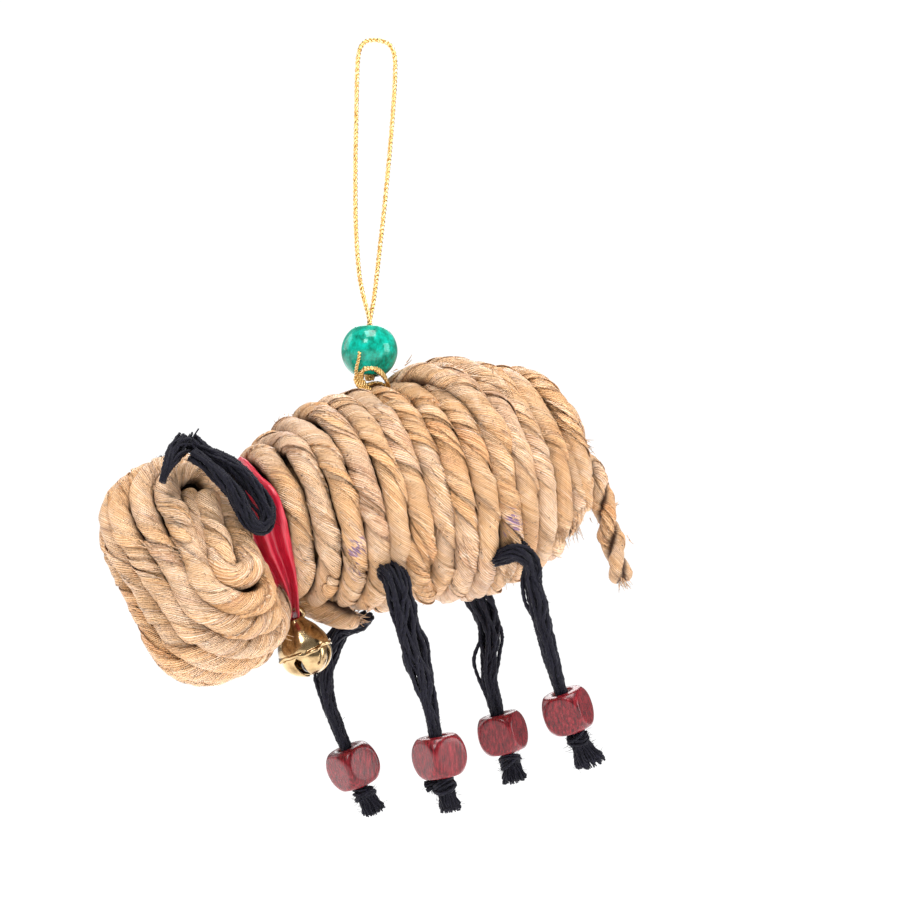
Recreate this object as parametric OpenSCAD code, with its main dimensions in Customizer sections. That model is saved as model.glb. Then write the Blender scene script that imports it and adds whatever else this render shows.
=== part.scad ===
// Hanging straw goat ornament, in the winter-tree tradition.
// Frame: origin at the top of the hanging loop, +Z up, head towards -X,
// the animal's left side towards -Y. All sizes in millimetres.

/* [Straw] */
// Diameter of the twisted straw strand
strand_d = 4.2; // [3.8:0.1:4.3]
// Distance between neighbouring turns of the body winding
coil_pitch = 4.25; // [4.25:0.05:4.4]
// Number of turns round the body
coil_count = 15; // [12:1:15]

/* [Body] */
// Largest outer radius of the wound body
body_r = 22.6; // [21:0.1:23]
// Angle by which the body hangs nose down
body_pitch = 13; // [10:0.5:15]

/* [Head] */
// Outer radius of the middle turn of the head winding
head_r = 13.2; // [12.6:0.1:13.4]
// Half of the straight length of each head turn
head_half = 8.3; // [7:0.1:9]

/* [Hanger] */
// Diameter of the gold cord
gold_d = 0.9; // [0.7:0.05:1]
// Diameter of the round green bead
green_bead_d = 10.6; // [10:0.1:11]
// Height of the round green bead along its bore
green_bead_h = 9.4; // [8.5:0.1:10]
// Diameter of the bore of the green bead
green_bore_d = 3.2; // [2.9:0.1:3.6]

/* [Legs] */
// Width of the cube beads
cube_w = 7.6; // [7:0.1:8.4]
// Diameter across the rounded corners of the cube beads
cube_round_d = 10.4; // [10:0.1:11.4]
// Diameter of the black yarn legs
yarn_d = 4.4; // [3.4:0.1:4.6]
// Diameter of the yarn where it runs through a bead
yarn_in_bead_d = 2.6; // [2:0.1:2.8]
// Diameter of the bore of the cube beads
cube_bore_d = 3; // [3:0.1:3.4]

/* [Bell] */
// Outer diameter of the brass bell
bell_d = 10; // [9:0.1:10.4]
// Wall thickness of the bell shells
bell_wall = 0.4; // [0.3:0.05:0.6]
// Diameter of the loose pellet in the bell
pellet_d = 3.2; // [2.6:0.1:3.4]

/* [Hidden] */

straw = "burlywood";
black = "#1c1c22";
gold = "goldenrod";
red_wood = "#7c1c26";
red_satin = "#c8102e";

strand_r = strand_d / 2;
tube_sides = 8;

// Body axis: the point midway along it, and the axis position of the first turn
body_mid = [8, 0, -85.8];
first_turn = -29.6;
widest_at = 5;
front_reach = 43.5;
rear_reach = 31;
tie_dip = 1.6;
tie_turn = 6;
core_gap = 1.4;

function turn_s(i) = first_turn + i * coil_pitch;
function body_point(s, y, h) = body_mid
    + [s * cos(body_pitch) - h * sin(body_pitch), y, s * sin(body_pitch) + h * cos(body_pitch)];
function dip(s) = tie_dip * exp(-pow((s - turn_s(tie_turn)) / 6, 2));
function body_radius(s) =
    body_r * sqrt(1 - pow((s - widest_at) / (s < widest_at ? front_reach : rear_reach), 2)) - dip(s);

// Where the gold cord is tied: the centre of one strand on the animal's back
tie_point = body_point(turn_s(tie_turn), 0, body_radius(turn_s(tie_turn)) - strand_r);

bead_x = -1;
green_bead_z = -59.9;
knot_z = green_bead_z - green_bead_h / 2 + 0.7;
knot_r = 1;

// Route of the gold cord: up from the knot, over the crown and back down
loop_route = [[-1, -0.5, -63.4], [-1, -0.5, -61], [-1, -0.5, -58], [-1, -0.5, -55.5],
    [-1.4, -0.4, -53], [-2.2, -0.2, -50], [-3, 0, -46], [-3.5, 0, -41], [-3.8, 0, -36],
    [-3.9, 0, -30], [-3.9, 0, -24], [-3.8, 0, -18], [-3.7, 0, -12], [-3.6, 0, -7],
    [-3.4, 0, -4], [-2.9, 0, -2], [-1.8, 0, -0.8], [-0.4, 0, -0.45], [1.2, 0, -0.45],
    [2.7, 0, -0.9], [3.7, 0, -2.2], [4.1, 0, -4.5], [4, 0, -9], [3.6, 0, -15], [3.1, 0, -21],
    [2.5, 0, -27], [1.9, 0, -33], [1.2, 0, -39], [0.5, 0, -45], [-0.1, 0.1, -50],
    [-0.6, 0.3, -53], [-1, 0.5, -55.5], [-1, 0.5, -58], [-1, 0.5, -61], [-1, 0.5, -63.4]];

// Routes of the yarn legs, from the hip down to the knot below the bead
front_left_route = [[-2.2, -17, -103.6], [-1.2, -17, -107.5], [0.2, -16.8, -112], [1.8, -16.4, -117],
    [3.6, -16, -122], [5.2, -15.6, -127], [6.2, -15.3, -131], [7.2, -15, -135.9], [8.2, -14.7, -140.8]];
front_right_route = [[-1, 9.4, -109.5], [-3.4, 9.6, -112.5], [-5.4, 9.8, -116.5], [-6, 10, -121],
    [-5.2, 10.3, -126], [-3.4, 10.6, -130.2], [-1.9, 10.8, -133.6], [0, 11, -137.8], [2, 11.2, -142]];
hind_left_route = [[24, -17.2, -99.4], [25, -17.2, -103], [26, -17, -107], [27.2, -16.6, -111.5],
    [28.6, -16.2, -116], [30, -15.8, -120], [31.4, -15.4, -123.6], [33, -15, -127.5], [35, -14.6, -132]];
hind_right_route = [[25, 10, -104.4], [26.8, 10.2, -108.5], [27.9, 10.4, -112.5], [27.8, 10.6, -117],
    [27.8, 10.7, -121], [28.8, 10.8, -125], [29.8, 10.9, -128.2], [30.8, 11, -131.5], [32, 11.1, -135.6]];

// Route of the left ear: out along the upper edge, round the tip and back
ear_left_route = [[-39, -9.8, -79], [-36.6, -11.4, -81.2], [-33.7, -12.9, -82.9], [-31, -14.2, -85.1],
    [-28.6, -15.2, -87.8], [-27, -16, -90.7], [-26.6, -16.5, -93.3], [-27.7, -16.6, -94.9],
    [-29.8, -16.5, -94.2], [-31.2, -16.3, -91.9], [-32.6, -16, -89.4], [-34.2, -15.3, -87.1],
    [-36.3, -14.5, -84.9], [-38.2, -13.6, -83], [-39.8, -12.6, -81.6]];
// Route of the left ear's tied end, from the ear's root down between two strands
ear_left_root_route = [[-40.4, -9.9, -79.4], [-42.2, -11, -80.8], [-43.8, -12.4, -82.8],
    [-45, -13.4, -85], [-45.8, -13.8, -87]];
// The right side mirrors the left about this plane and shift
ear_mirror_y = 0.9;
ear_shift = [3.4, 0, -2.2];
function other_side(route) = [for (p = route) [p[0], 2 * ear_mirror_y - p[1], p[2]] + ear_shift];
ear_yarn_d = 2.6;

tail_route = [[39.8, 0, -79.8], [42.4, 0, -79.6], [44.4, 0, -80.6], [45.7, 0, -82.6], [46.7, 0, -85.6],
    [47.8, 0, -89.4], [48.8, 0, -93.4], [50, 0, -98], [51.2, 0, -102.4]];
tail_d = 4.4;

head_mid = [-35.9, -1.8, -102];
head_turn = [59.3, -11.5, 11];
head_n = 15;
head_pitch = 4.4;

ribbon_s = first_turn - strand_r - 0.25;
ribbon_r = 12.7;
ribbon_t = 0.5;
ribbon_min_w = 1.8;
ribbon_max_w = 6;
ribbon_steps = 32;
ribbon_cone = 0.28;

bell_pivot = [-16.8, -1, -109.9];
bell_tilt = 23;
bell_drop = 7;
bell_ring_r = 1.6;
bell_wire_r = 0.35;
bell_slot = 1.3;

// --- sweeping a round tube along a route ---
function unit(v) = v / norm(v);
function tangent(route, i) =
    unit(route[min(i + 1, len(route) - 1)] - route[max(i - 1, 0)]);
function side_axis(t) = unit(abs(t[1]) > 0.9 ? cross(t, [1, 0, 0]) : cross(t, [0, 1, 0]));
function ring(route, i, r) =
    let (t = tangent(route, i), a = side_axis(t), b = cross(t, a))
    [for (k = [0:tube_sides - 1]) let (q = 360 * (k + 0.5) / tube_sides)
        route[i] + r * (cos(q) * a + sin(q) * b)];

module tube(route, r, shrink_from = 1000, small_r = 0) {
    last = len(route) - 1;
    points = [for (i = [0:last]) each ring(route, i, i >= shrink_from ? small_r : r)];
    walls = [for (i = [0:last - 1], k = [0:tube_sides - 1])
        let (n = (k + 1) % tube_sides)
        [i * tube_sides + k, i * tube_sides + n, (i + 1) * tube_sides + n, (i + 1) * tube_sides + k]];
    start = [for (k = [tube_sides - 1:-1:0]) k];
    end = [for (k = [0:tube_sides - 1]) last * tube_sides + k];
    polyhedron(points, concat(walls, [start, end]), convexity = 10);
}

// Turns the Z axis onto a direction
module point_z(v) {
    rotate([0, acos(v[2] / norm(v)), atan2(v[1], v[0])])
        children();
}

module torus(centre_r, tube_r) {
    rotate_extrude($fn = 96)
        translate([centre_r, 0])
            circle(tube_r, $fn = 32);
}

module on_body_axis(s) {
    translate(body_point(s, 0, 0))
        rotate([0, 90 - body_pitch, 0])
            children();
}

// --- hanger ---
module hanging_loop() {
    color(gold)
        tube(loop_route, gold_d / 2);
}

module green_bead() {
    color("seagreen")
        translate([bead_x, 0, green_bead_z])
            difference() {
                intersection() {
                    sphere(d = green_bead_d, $fn = 64);
                    cylinder(d = green_bead_d, h = green_bead_h, center = true, $fn = 64);
                }
                cylinder(d = green_bore_d, h = green_bead_h + 2, center = true, $fn = 48);
            }
}

module gold_knot() {
    color(gold)
        translate([bead_x, 0, knot_z - knot_r])
            sphere(knot_r, $fn = 32);
}

// Three turns of the cord round one strand
module gold_tie() {
    wrap_gap = 1.05;
    color(gold)
        translate(tie_point)
            for (k = [-1:1])
                translate([0, k * wrap_gap, 0])
                    rotate([90, 0, 0])
                        torus(strand_r + gold_d / 2 + 0.03, gold_d / 2);
}

// --- straw body ---
module body_core() {
    steps = 20;
    s_front = first_turn;
    s_rear = turn_s(coil_count - 1);
    step = (s_rear - s_front) / steps;
    outline = [for (k = [0:steps]) let (s = s_front + k * step)
        [body_radius(s) - strand_d - core_gap, s - s_front]];
    color("wheat")
        on_body_axis(s_front)
            rotate_extrude($fn = 96)
                polygon(concat([[0, 0]], outline, [[0, s_rear - s_front]]));
}

module body_wrap() {
    color(straw)
        for (i = [0:coil_count - 1])
            on_body_axis(turn_s(i))
                torus(body_radius(turn_s(i)) - strand_r, strand_r);
}

rump_s = turn_s(coil_count - 1) + 1.5;
rump_r = 7.1;

// The winding closes on the rump round a plug of straw
module rump_coil() {
    color(straw) {
        on_body_axis(rump_s)
            torus(rump_r, strand_r - 0.1);
        on_body_axis(rump_s - 1.9)
            cylinder(r = rump_r - strand_r - 0.1, h = 2, $fn = 48);
    }
}

// The strand's own end, tucked under the front of the belly
module wrap_end() {
    from = [-8.2, 0.6, -110];
    to = [-4.8, -0.4, -111];
    color(straw)
        translate(from)
            point_z(to - from) {
                cylinder(r = strand_r - 0.3, h = norm(to - from), $fn = 32);
                sphere(strand_r - 0.3, $fn = 32);
                translate([0, 0, norm(to - from)])
                    sphere(strand_r - 0.3, $fn = 32);
            }
}

module neck_core() {
    color("wheat")
        on_body_axis(-36)
            cylinder(r = 7.4, h = 6.4, $fn = 64);
}

// --- straw head ---
module in_head() {
    translate(head_mid)
        rotate(head_turn)
            children();
}

module long_turn(centre_r) {
    for (side = [0, 180])
        rotate([0, 0, side]) {
            translate([0, head_half, 0])
                rotate_extrude(angle = 180, $fn = 96)
                    translate([centre_r, 0])
                        circle(strand_r, $fn = 32);
            translate([centre_r, -head_half, 0])
                rotate([-90, 0, 0])
                    cylinder(r = strand_r, h = 2 * head_half, $fn = 32);
        }
}

module head_core() {
    core_r = head_r - strand_d - 0.4;
    color("wheat")
        in_head() {
            rotate([90, 0, 0])
                cylinder(r = core_r, h = 2 * head_half, center = true, $fn = 64);
            for (end = [-1, 1])
                translate([0, end * head_half, 0])
                    sphere(core_r, $fn = 64);
        }
}

module head_wrap() {
    last_offset = 12;
    last_r = 7;
    eye_offset = head_n - strand_r;
    color(straw)
        in_head() {
            long_turn(head_r - strand_r);
            for (side = [-1, 1]) {
                for (k = [1:2])
                    translate([0, 0, side * k * head_pitch])
                        long_turn(head_r * sqrt(1 - pow(k * head_pitch / head_n, 2)) - strand_r);
                translate([0, 0, side * last_offset])
                    long_turn(last_r - strand_r);
                translate([0, 0, side * eye_offset])
                    rotate([90, 0, 0])
                        cylinder(r = strand_r, h = 2 * head_half, center = true, $fn = 32);
            }
        }
}

// --- ribbon and bell ---
function ribbon_w(q) = ribbon_min_w + (ribbon_max_w - ribbon_min_w) * (1 + sin(q)) / 2;
function ribbon_point(q, depth, r) = body_point(ribbon_s - depth, r * cos(q), r * sin(q));

module neck_ribbon() {
    points = [for (k = [0:ribbon_steps - 1])
        let (q = 360 * k / ribbon_steps, w = ribbon_w(q), front_r = ribbon_r - ribbon_cone * w)
        each [ribbon_point(q, 0, ribbon_r), ribbon_point(q, w, front_r),
            ribbon_point(q, w, front_r - ribbon_t), ribbon_point(q, 0, ribbon_r - ribbon_t)]];
    faces = [for (k = [0:ribbon_steps - 1], j = [0:3])
        let (n = (k + 1) % ribbon_steps, m = (j + 1) % 4)
        [k * 4 + j, k * 4 + m, n * 4 + m, n * 4 + j]];
    color(red_satin)
        polyhedron(points, faces, convexity = 6);
}

// The ribbon's ends run down to the bell's ring and loop through it
module ribbon_gather() {
    top = ribbon_point(270, ribbon_min_w / 2, ribbon_r + 0.5);
    yoke = bell_pivot + [0, 0, 2.6];
    color(red_satin) {
        hull() {
            translate(top)
                cube([1.2, 3.4, 0.6], center = true);
            translate(yoke)
                cube([1, 2.2, 0.8], center = true);
        }
        for (side = [-1, 1])
            translate(bell_pivot + [-0.5, side * 0.85 - 0.25, -0.5])
                cube([1, 0.5, 3.3]);
        translate(bell_pivot)
            rotate([90, 0, 0])
                cylinder(r = 0.5, h = 2.2, center = true, $fn = 24);
    }
}

module in_bell(along = bell_drop) {
    translate(bell_pivot)
        rotate([0, 180 - bell_tilt, 0])
            translate([0, 0, along])
                children();
}

module bell_loop() {
    color(gold)
        difference() {
            in_bell(0.55)
                rotate([90, 0, 0])
                    torus(bell_ring_r, bell_wire_r);
            in_bell()
                sphere(d = bell_d, $fn = 64);
        }
}

// Both half shells share this outline; the local +Z axis points to the bell's mouth
module half_shell() {
    difference() {
        sphere(d = bell_d, $fn = 64);
        sphere(d = bell_d - 2 * bell_wall, $fn = 64);
        translate([0, 0, -bell_d])
            cylinder(d = 2 * bell_d, h = bell_d, $fn = 32);
    }
}

module bell_dome() {
    rim_w = 0.5;
    color(gold)
        in_bell() {
            rotate([180, 0, 0])
                half_shell();
            translate([0, 0, -rim_w])
                difference() {
                    cylinder(d = bell_d + 0.6, h = rim_w, $fn = 64);
                    translate([0, 0, -1])
                        cylinder(d = bell_d - bell_wall, h = rim_w + 2, $fn = 64);
                }
        }
}

module bell_claws() {
    color(gold)
        in_bell()
            difference() {
                half_shell();
                for (turn = [45, 135])
                    rotate([0, 0, turn])
                        translate([-bell_d, -bell_slot / 2, bell_d * 0.16])
                            cube([2 * bell_d, bell_slot, bell_d]);
            }
}

module bell_pellet() {
    color(gold)
        in_bell(bell_drop + bell_d / 2 - bell_wall - pellet_d / 2 - 0.3)
            sphere(d = pellet_d, $fn = 32);
}

// --- ears and tail ---
module ear_yarn(route) {
    color(black)
        tube(route, ear_yarn_d / 2);
}

module tail() {
    color(straw)
        tube(tail_route, tail_d / 2);
}

// --- legs ---
// A hank of yarn through the belly carries a pair of legs
module leg_tie(left_hip, right_hip) {
    hip_gap = yarn_d / 2 + 0.3;
    run = right_hip - left_hip;
    color(black)
        translate(left_hip + hip_gap * unit(run))
            point_z(run)
                cylinder(d = 3, h = norm(run) - 2 * hip_gap, $fn = 24);
}

function bead_at(route) = route[len(route) - 2];
function leg_axis(route) = route[len(route) - 1] - route[len(route) - 3];

module leg_yarn(route) {
    color(black)
        tube(route, yarn_d / 2, len(route) - 3, yarn_in_bead_d / 2);
}

// One side face of the bead looks along the heading, an angle round from +X
module cube_bead(route, heading) {
    axis = leg_axis(route);
    roll = atan2(axis[1], axis[0]) + 180 - heading;
    color(red_wood)
        translate(bead_at(route))
            point_z(axis)
                rotate([0, 0, roll])
                    difference() {
                        intersection() {
                            cube(cube_w, center = true);
                            sphere(d = cube_round_d, $fn = 64);
                        }
                        cylinder(d = cube_bore_d, h = cube_w + 2, center = true, $fn = 48);
                    }
}

// The knot that stops the bead, and the tassel below it
module leg_knot(route, fan_r, tassel_len) {
    knot_h = 3.4;
    knot_r = 2.4;
    neck_r = 1.7;
    start = cube_w / 2 + 0.25;
    color(black)
        translate(bead_at(route))
            point_z(leg_axis(route))
                translate([0, 0, start])
                    rotate_extrude($fn = 48)
                        polygon([[0, 0], [knot_r * 0.75, 0], [knot_r, knot_h * 0.3], [knot_r, knot_h * 0.65],
                            [neck_r, knot_h], [fan_r, knot_h + tassel_len * 0.8],
                            [fan_r * 0.8, knot_h + tassel_len], [0, knot_h + tassel_len]]);
}

hanging_loop();
green_bead();
gold_knot();
gold_tie();
body_core();
body_wrap();
rump_coil();
wrap_end();
neck_core();
head_core();
head_wrap();
neck_ribbon();
ribbon_gather();
bell_loop();
bell_dome();
bell_claws();
bell_pellet();
ear_yarn(ear_left_route);  // ear_left
ear_yarn(other_side(ear_left_route));  // ear_right
ear_yarn(ear_left_root_route);  // ear_left_root
ear_yarn(other_side(ear_left_root_route));  // ear_right_root
tail();
leg_tie(front_left_route[0], front_right_route[0]);  // front_leg_tie
leg_tie(hind_left_route[0], hind_right_route[0]);  // hind_leg_tie
leg_yarn(front_left_route);  // front_left_yarn
cube_bead(front_left_route, -76);  // front_left_bead
leg_knot(front_left_route, 2.4, 3.6);  // front_left_knot
leg_yarn(front_right_route);  // front_right_yarn
cube_bead(front_right_route, -74);  // front_right_bead
leg_knot(front_right_route, 2.2, 2.6);  // front_right_knot
leg_yarn(hind_left_route);  // hind_left_yarn
cube_bead(hind_left_route, -42);  // hind_left_bead
leg_knot(hind_left_route, 2.8, 4.4);  // hind_left_knot
leg_yarn(hind_right_route);  // hind_right_yarn
cube_bead(hind_right_route, -46);  // hind_right_bead
leg_knot(hind_right_route, 2.8, 2.2);  // hind_right_knot
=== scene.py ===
import math

import bmesh
import bpy
import numpy as np
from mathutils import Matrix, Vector


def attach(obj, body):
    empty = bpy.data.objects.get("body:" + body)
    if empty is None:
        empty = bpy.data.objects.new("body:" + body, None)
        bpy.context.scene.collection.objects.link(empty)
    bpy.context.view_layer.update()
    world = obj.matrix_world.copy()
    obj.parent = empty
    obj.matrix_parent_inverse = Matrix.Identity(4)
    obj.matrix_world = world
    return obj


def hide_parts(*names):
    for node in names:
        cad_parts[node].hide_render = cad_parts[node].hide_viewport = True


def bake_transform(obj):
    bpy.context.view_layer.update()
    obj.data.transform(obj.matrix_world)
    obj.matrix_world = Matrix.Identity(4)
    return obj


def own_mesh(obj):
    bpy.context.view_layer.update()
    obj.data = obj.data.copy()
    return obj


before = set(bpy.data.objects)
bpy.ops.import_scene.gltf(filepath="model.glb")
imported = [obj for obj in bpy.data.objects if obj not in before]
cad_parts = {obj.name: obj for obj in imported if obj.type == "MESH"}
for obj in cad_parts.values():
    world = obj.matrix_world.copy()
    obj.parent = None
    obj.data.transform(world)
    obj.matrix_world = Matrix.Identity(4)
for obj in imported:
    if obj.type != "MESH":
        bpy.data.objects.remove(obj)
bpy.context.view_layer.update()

MM = 0.001
TURN = 2 * math.pi

# ---------------------------------------------------------------- shared sizes, in mm, as in the CAD model
STRAND_R = 2.1
COIL_PITCH = 4.25
COIL_COUNT = 15
FIRST_TURN = -29.6
BODY_MID = np.array([8, 0, -85.8])
BODY_PITCH = math.radians(13)
BODY_R = 22.6
WIDEST_AT = 5
FRONT_REACH = 43.5
REAR_REACH = 31
TIE_TURN = 6
TIE_DIP = 1.6
HEAD_MID = np.array([-35.9, -1.8, -102])
HEAD_TURN = [math.radians(a) for a in (59.3, -11.5, 11)]
HEAD_R = 13.2
HEAD_HALF = 8.3
HEAD_N = 15
GOLD_R = 0.45
BEAD_X = -1
GREEN_Z = -59.9
GREEN_H = 9.4
GREEN_R = 5.3
CUBE_W = 7.6
BELL_PIVOT = np.array([-16.8, -1, -109.9])
BELL_TILT = math.radians(23)
BELL_DROP = 7
BELL_R = 5
VIEW_AZIMUTH = math.radians(-22)
FRONT_SIDE = (math.cos(VIEW_AZIMUTH), math.sin(VIEW_AZIMUTH), 0)

LOOP_ROUTE = [[-1, -0.5, -63.4], [-1, -0.5, -61], [-1, -0.5, -58], [-1, -0.5, -55.5],
    [-1.4, -0.4, -53], [-2.2, -0.2, -50], [-3, 0, -46], [-3.5, 0, -41], [-3.8, 0, -36],
    [-3.9, 0, -30], [-3.9, 0, -24], [-3.8, 0, -18], [-3.7, 0, -12], [-3.6, 0, -7],
    [-3.4, 0, -4], [-2.9, 0, -2], [-1.8, 0, -0.8], [-0.4, 0, -0.45], [1.2, 0, -0.45],
    [2.7, 0, -0.9], [3.7, 0, -2.2], [4.1, 0, -4.5], [4, 0, -9], [3.6, 0, -15], [3.1, 0, -21],
    [2.5, 0, -27], [1.9, 0, -33], [1.2, 0, -39], [0.5, 0, -45], [-0.1, 0.1, -50],
    [-0.6, 0.3, -53], [-1, 0.5, -55.5], [-1, 0.5, -58], [-1, 0.5, -61], [-1, 0.5, -63.4]]
LEG_ROUTES = {
    "front_left": [[-2.2, -17, -103.6], [-1.2, -17, -107.5], [0.2, -16.8, -112], [1.8, -16.4, -117],
        [3.6, -16, -122], [5.2, -15.6, -127], [6.2, -15.3, -131], [7.2, -15, -135.9], [8.2, -14.7, -140.8]],
    "front_right": [[-1, 9.4, -109.5], [-3.4, 9.6, -112.5], [-5.4, 9.8, -116.5], [-6, 10, -121],
        [-5.2, 10.3, -126], [-3.4, 10.6, -130.2], [-1.9, 10.8, -133.6], [0, 11, -137.8], [2, 11.2, -142]],
    "hind_left": [[24, -17.2, -99.4], [25, -17.2, -103], [26, -17, -107], [27.2, -16.6, -111.5],
        [28.6, -16.2, -116], [30, -15.8, -120], [31.4, -15.4, -123.6], [33, -15, -127.5], [35, -14.6, -132]],
    "hind_right": [[25, 10, -104.4], [26.8, 10.2, -108.5], [27.9, 10.4, -112.5], [27.8, 10.6, -117],
        [27.8, 10.7, -121], [28.8, 10.8, -125], [29.8, 10.9, -128.2], [30.8, 11, -131.5],
        [32, 11.1, -135.6]]}
HANKS = {
    "front_left": [[-2.6, -13.4, -102.0], [-2.8, -15.8, -102.2], [-2.4, -17.3, -103.6]],
    "front_right": [[-0.2, 3, -109.6], [-0.4, 5.6, -110.6], [-1.4, 7.4, -111.3], [-2.2, 8.8, -111.6]],
    "hind_left": [[18.6, -14.6, -99.6], [18.8, -17.0, -99.2], [20.4, -18.6, -98.3], [23.0, -18.8, -99.0],
        [24.6, -18.0, -101.0]],
    "hind_right": [[23.6, 8.0, -101.0], [24.2, 9.4, -103.0], [25, 10, -104.8]]}
EAR_ROUTE = [[-39, -9.8, -79], [-36.6, -11.4, -81.2], [-33.7, -12.9, -82.9], [-31, -14.2, -85.1],
    [-28.6, -15.2, -87.8], [-27, -16, -90.7], [-26.6, -16.5, -93.3], [-27.7, -16.6, -94.9],
    [-29.8, -16.5, -94.2], [-31.2, -16.3, -91.9], [-32.6, -16, -89.4], [-34.2, -15.3, -87.1],
    [-36.3, -14.5, -84.9], [-38.2, -13.6, -83], [-39.8, -12.6, -81.6]]
EAR_ROOT_ROUTE = [[-40.4, -9.9, -79.4], [-42.2, -11, -80.8], [-43.8, -12.4, -82.8],
    [-45, -13.4, -85], [-45.8, -13.8, -87]]
EAR_MIRROR_Y = 0.9
EAR_SHIFT = [3.4, 0, -2.2]
TAIL_ROUTE = [[39.8, 0, -79.8], [42.4, 0, -79.6], [44.4, 0, -80.6], [45.7, 0, -82.6], [46.7, 0, -85.6],
    [47.8, 0, -89.4], [48.8, 0, -93.4], [50, 0, -98], [51.2, 0, -102.4]]


# ---------------------------------------------------------------- camera
def make_camera():
    """A long lens that looks from the front left, slightly from below."""
    azimuth, elevation, distance = VIEW_AZIMUTH, math.radians(-5), 0.65
    target = Vector((0.01577, 0.00099, -0.07798))
    back = Vector((math.sin(azimuth) * math.cos(elevation), -math.cos(azimuth) * math.cos(elevation),
                   math.sin(elevation)))
    data = bpy.data.cameras.new("camera")
    data.lens = 136.84
    data.sensor_width = 36
    camera = bpy.data.objects.new("camera", data)
    camera.location = target + back * distance
    camera.rotation_euler = (-back).to_track_quat("-Z", "Y").to_euler()
    bpy.context.collection.objects.link(camera)
    bpy.context.scene.camera = camera


# ---------------------------------------------------------------- geometry helpers
def unit(v):
    v = np.asarray(v, float)
    return v / np.maximum(np.linalg.norm(v, axis=-1, keepdims=True), 1e-12)


def wander(s, wave, seed):
    """Smooth noise along a length, about -1 to 1, with this main wavelength."""
    layers = 3
    rng = np.random.default_rng(seed)
    total = np.zeros_like(s, dtype=float)
    for k in range(layers):
        length = wave * (0.55 + 0.45 * k) * rng.uniform(0.9, 1.1)
        total += np.sin(TURN * s / length + rng.uniform(0, TURN))
    return total / layers * 1.3


def lengths(path):
    """Distance along a path at each of its points."""
    return np.concatenate([[0], np.cumsum(np.linalg.norm(np.diff(path, axis=0), axis=1))])


def resample(path, step):
    """The same path with points at an even step."""
    path = np.asarray(path, float)
    s = lengths(path)
    count = max(2, int(round(s[-1] / step)) + 1)
    even = np.linspace(0, s[-1], count)
    return np.stack([np.interp(even, s, path[:, k]) for k in range(3)], axis=1)


def smooth(points, step):
    """A Catmull-Rom curve through the points, resampled at an even step."""
    p = np.asarray(points, float)
    p = np.vstack([2 * p[0] - p[1], p, 2 * p[-1] - p[-2]])
    t = np.linspace(0, 1, 12, endpoint=False)[:, None]
    parts = []
    for a, b, c, d in zip(p[:-3], p[1:-2], p[2:-1], p[3:]):
        parts.append(0.5 * (2 * b + (c - a) * t + (2 * a - 5 * b + 4 * c - d) * t ** 2
                            + (3 * b - a - 3 * c + d) * t ** 3))
    parts.append(p[-2][None])
    return resample(np.vstack(parts), step)


def frames(path, start_side=None):
    """Tangents and two side directions along a path, carried along without twisting."""
    tangent = unit(np.gradient(path, axis=0))
    side = np.zeros_like(path)
    first = start_side if start_side is not None else (0, 1, 0) if abs(tangent[0][1]) < 0.9 else (1, 0, 0)
    side[0] = unit(np.cross(np.cross(tangent[0], first), tangent[0]))
    for i in range(1, len(path)):
        v = side[i - 1] - tangent[i] * np.dot(side[i - 1], tangent[i])
        side[i] = v / np.linalg.norm(v)
    return tangent, side, np.cross(tangent, side)


def mesh_object(name, points, faces, uv=None, values=None, flat=False):
    """An object from points in mm and a list of face arrays; uv holds one pair a corner."""
    mesh = bpy.data.meshes.new(name)
    points = np.asarray(points, np.float32) * MM
    loops = np.concatenate([f.ravel() for f in faces]).astype(np.int32)
    sizes = np.concatenate([np.full(len(f), f.shape[1]) for f in faces])
    starts = np.concatenate([[0], np.cumsum(sizes)[:-1]]).astype(np.int32)
    mesh.vertices.add(len(points))
    mesh.vertices.foreach_set("co", points.ravel())
    mesh.loops.add(len(loops))
    mesh.loops.foreach_set("vertex_index", loops)
    mesh.polygons.add(len(sizes))
    mesh.polygons.foreach_set("loop_start", starts)
    mesh.update(calc_edges=True)
    if uv is not None:
        layer = mesh.uv_layers.new(name="along")
        layer.data.foreach_set("uv", np.asarray(uv, np.float32).ravel())
    for key, data in (values or {}).items():
        layer = mesh.attributes.new(key, "FLOAT", "POINT")
        layer.data.foreach_set("value", np.asarray(data, np.float32).ravel())
    mesh.validate()
    if not flat:
        mesh.shade_smooth()
    obj = bpy.data.objects.new(name, mesh)
    bpy.context.collection.objects.link(obj)
    return obj


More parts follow.
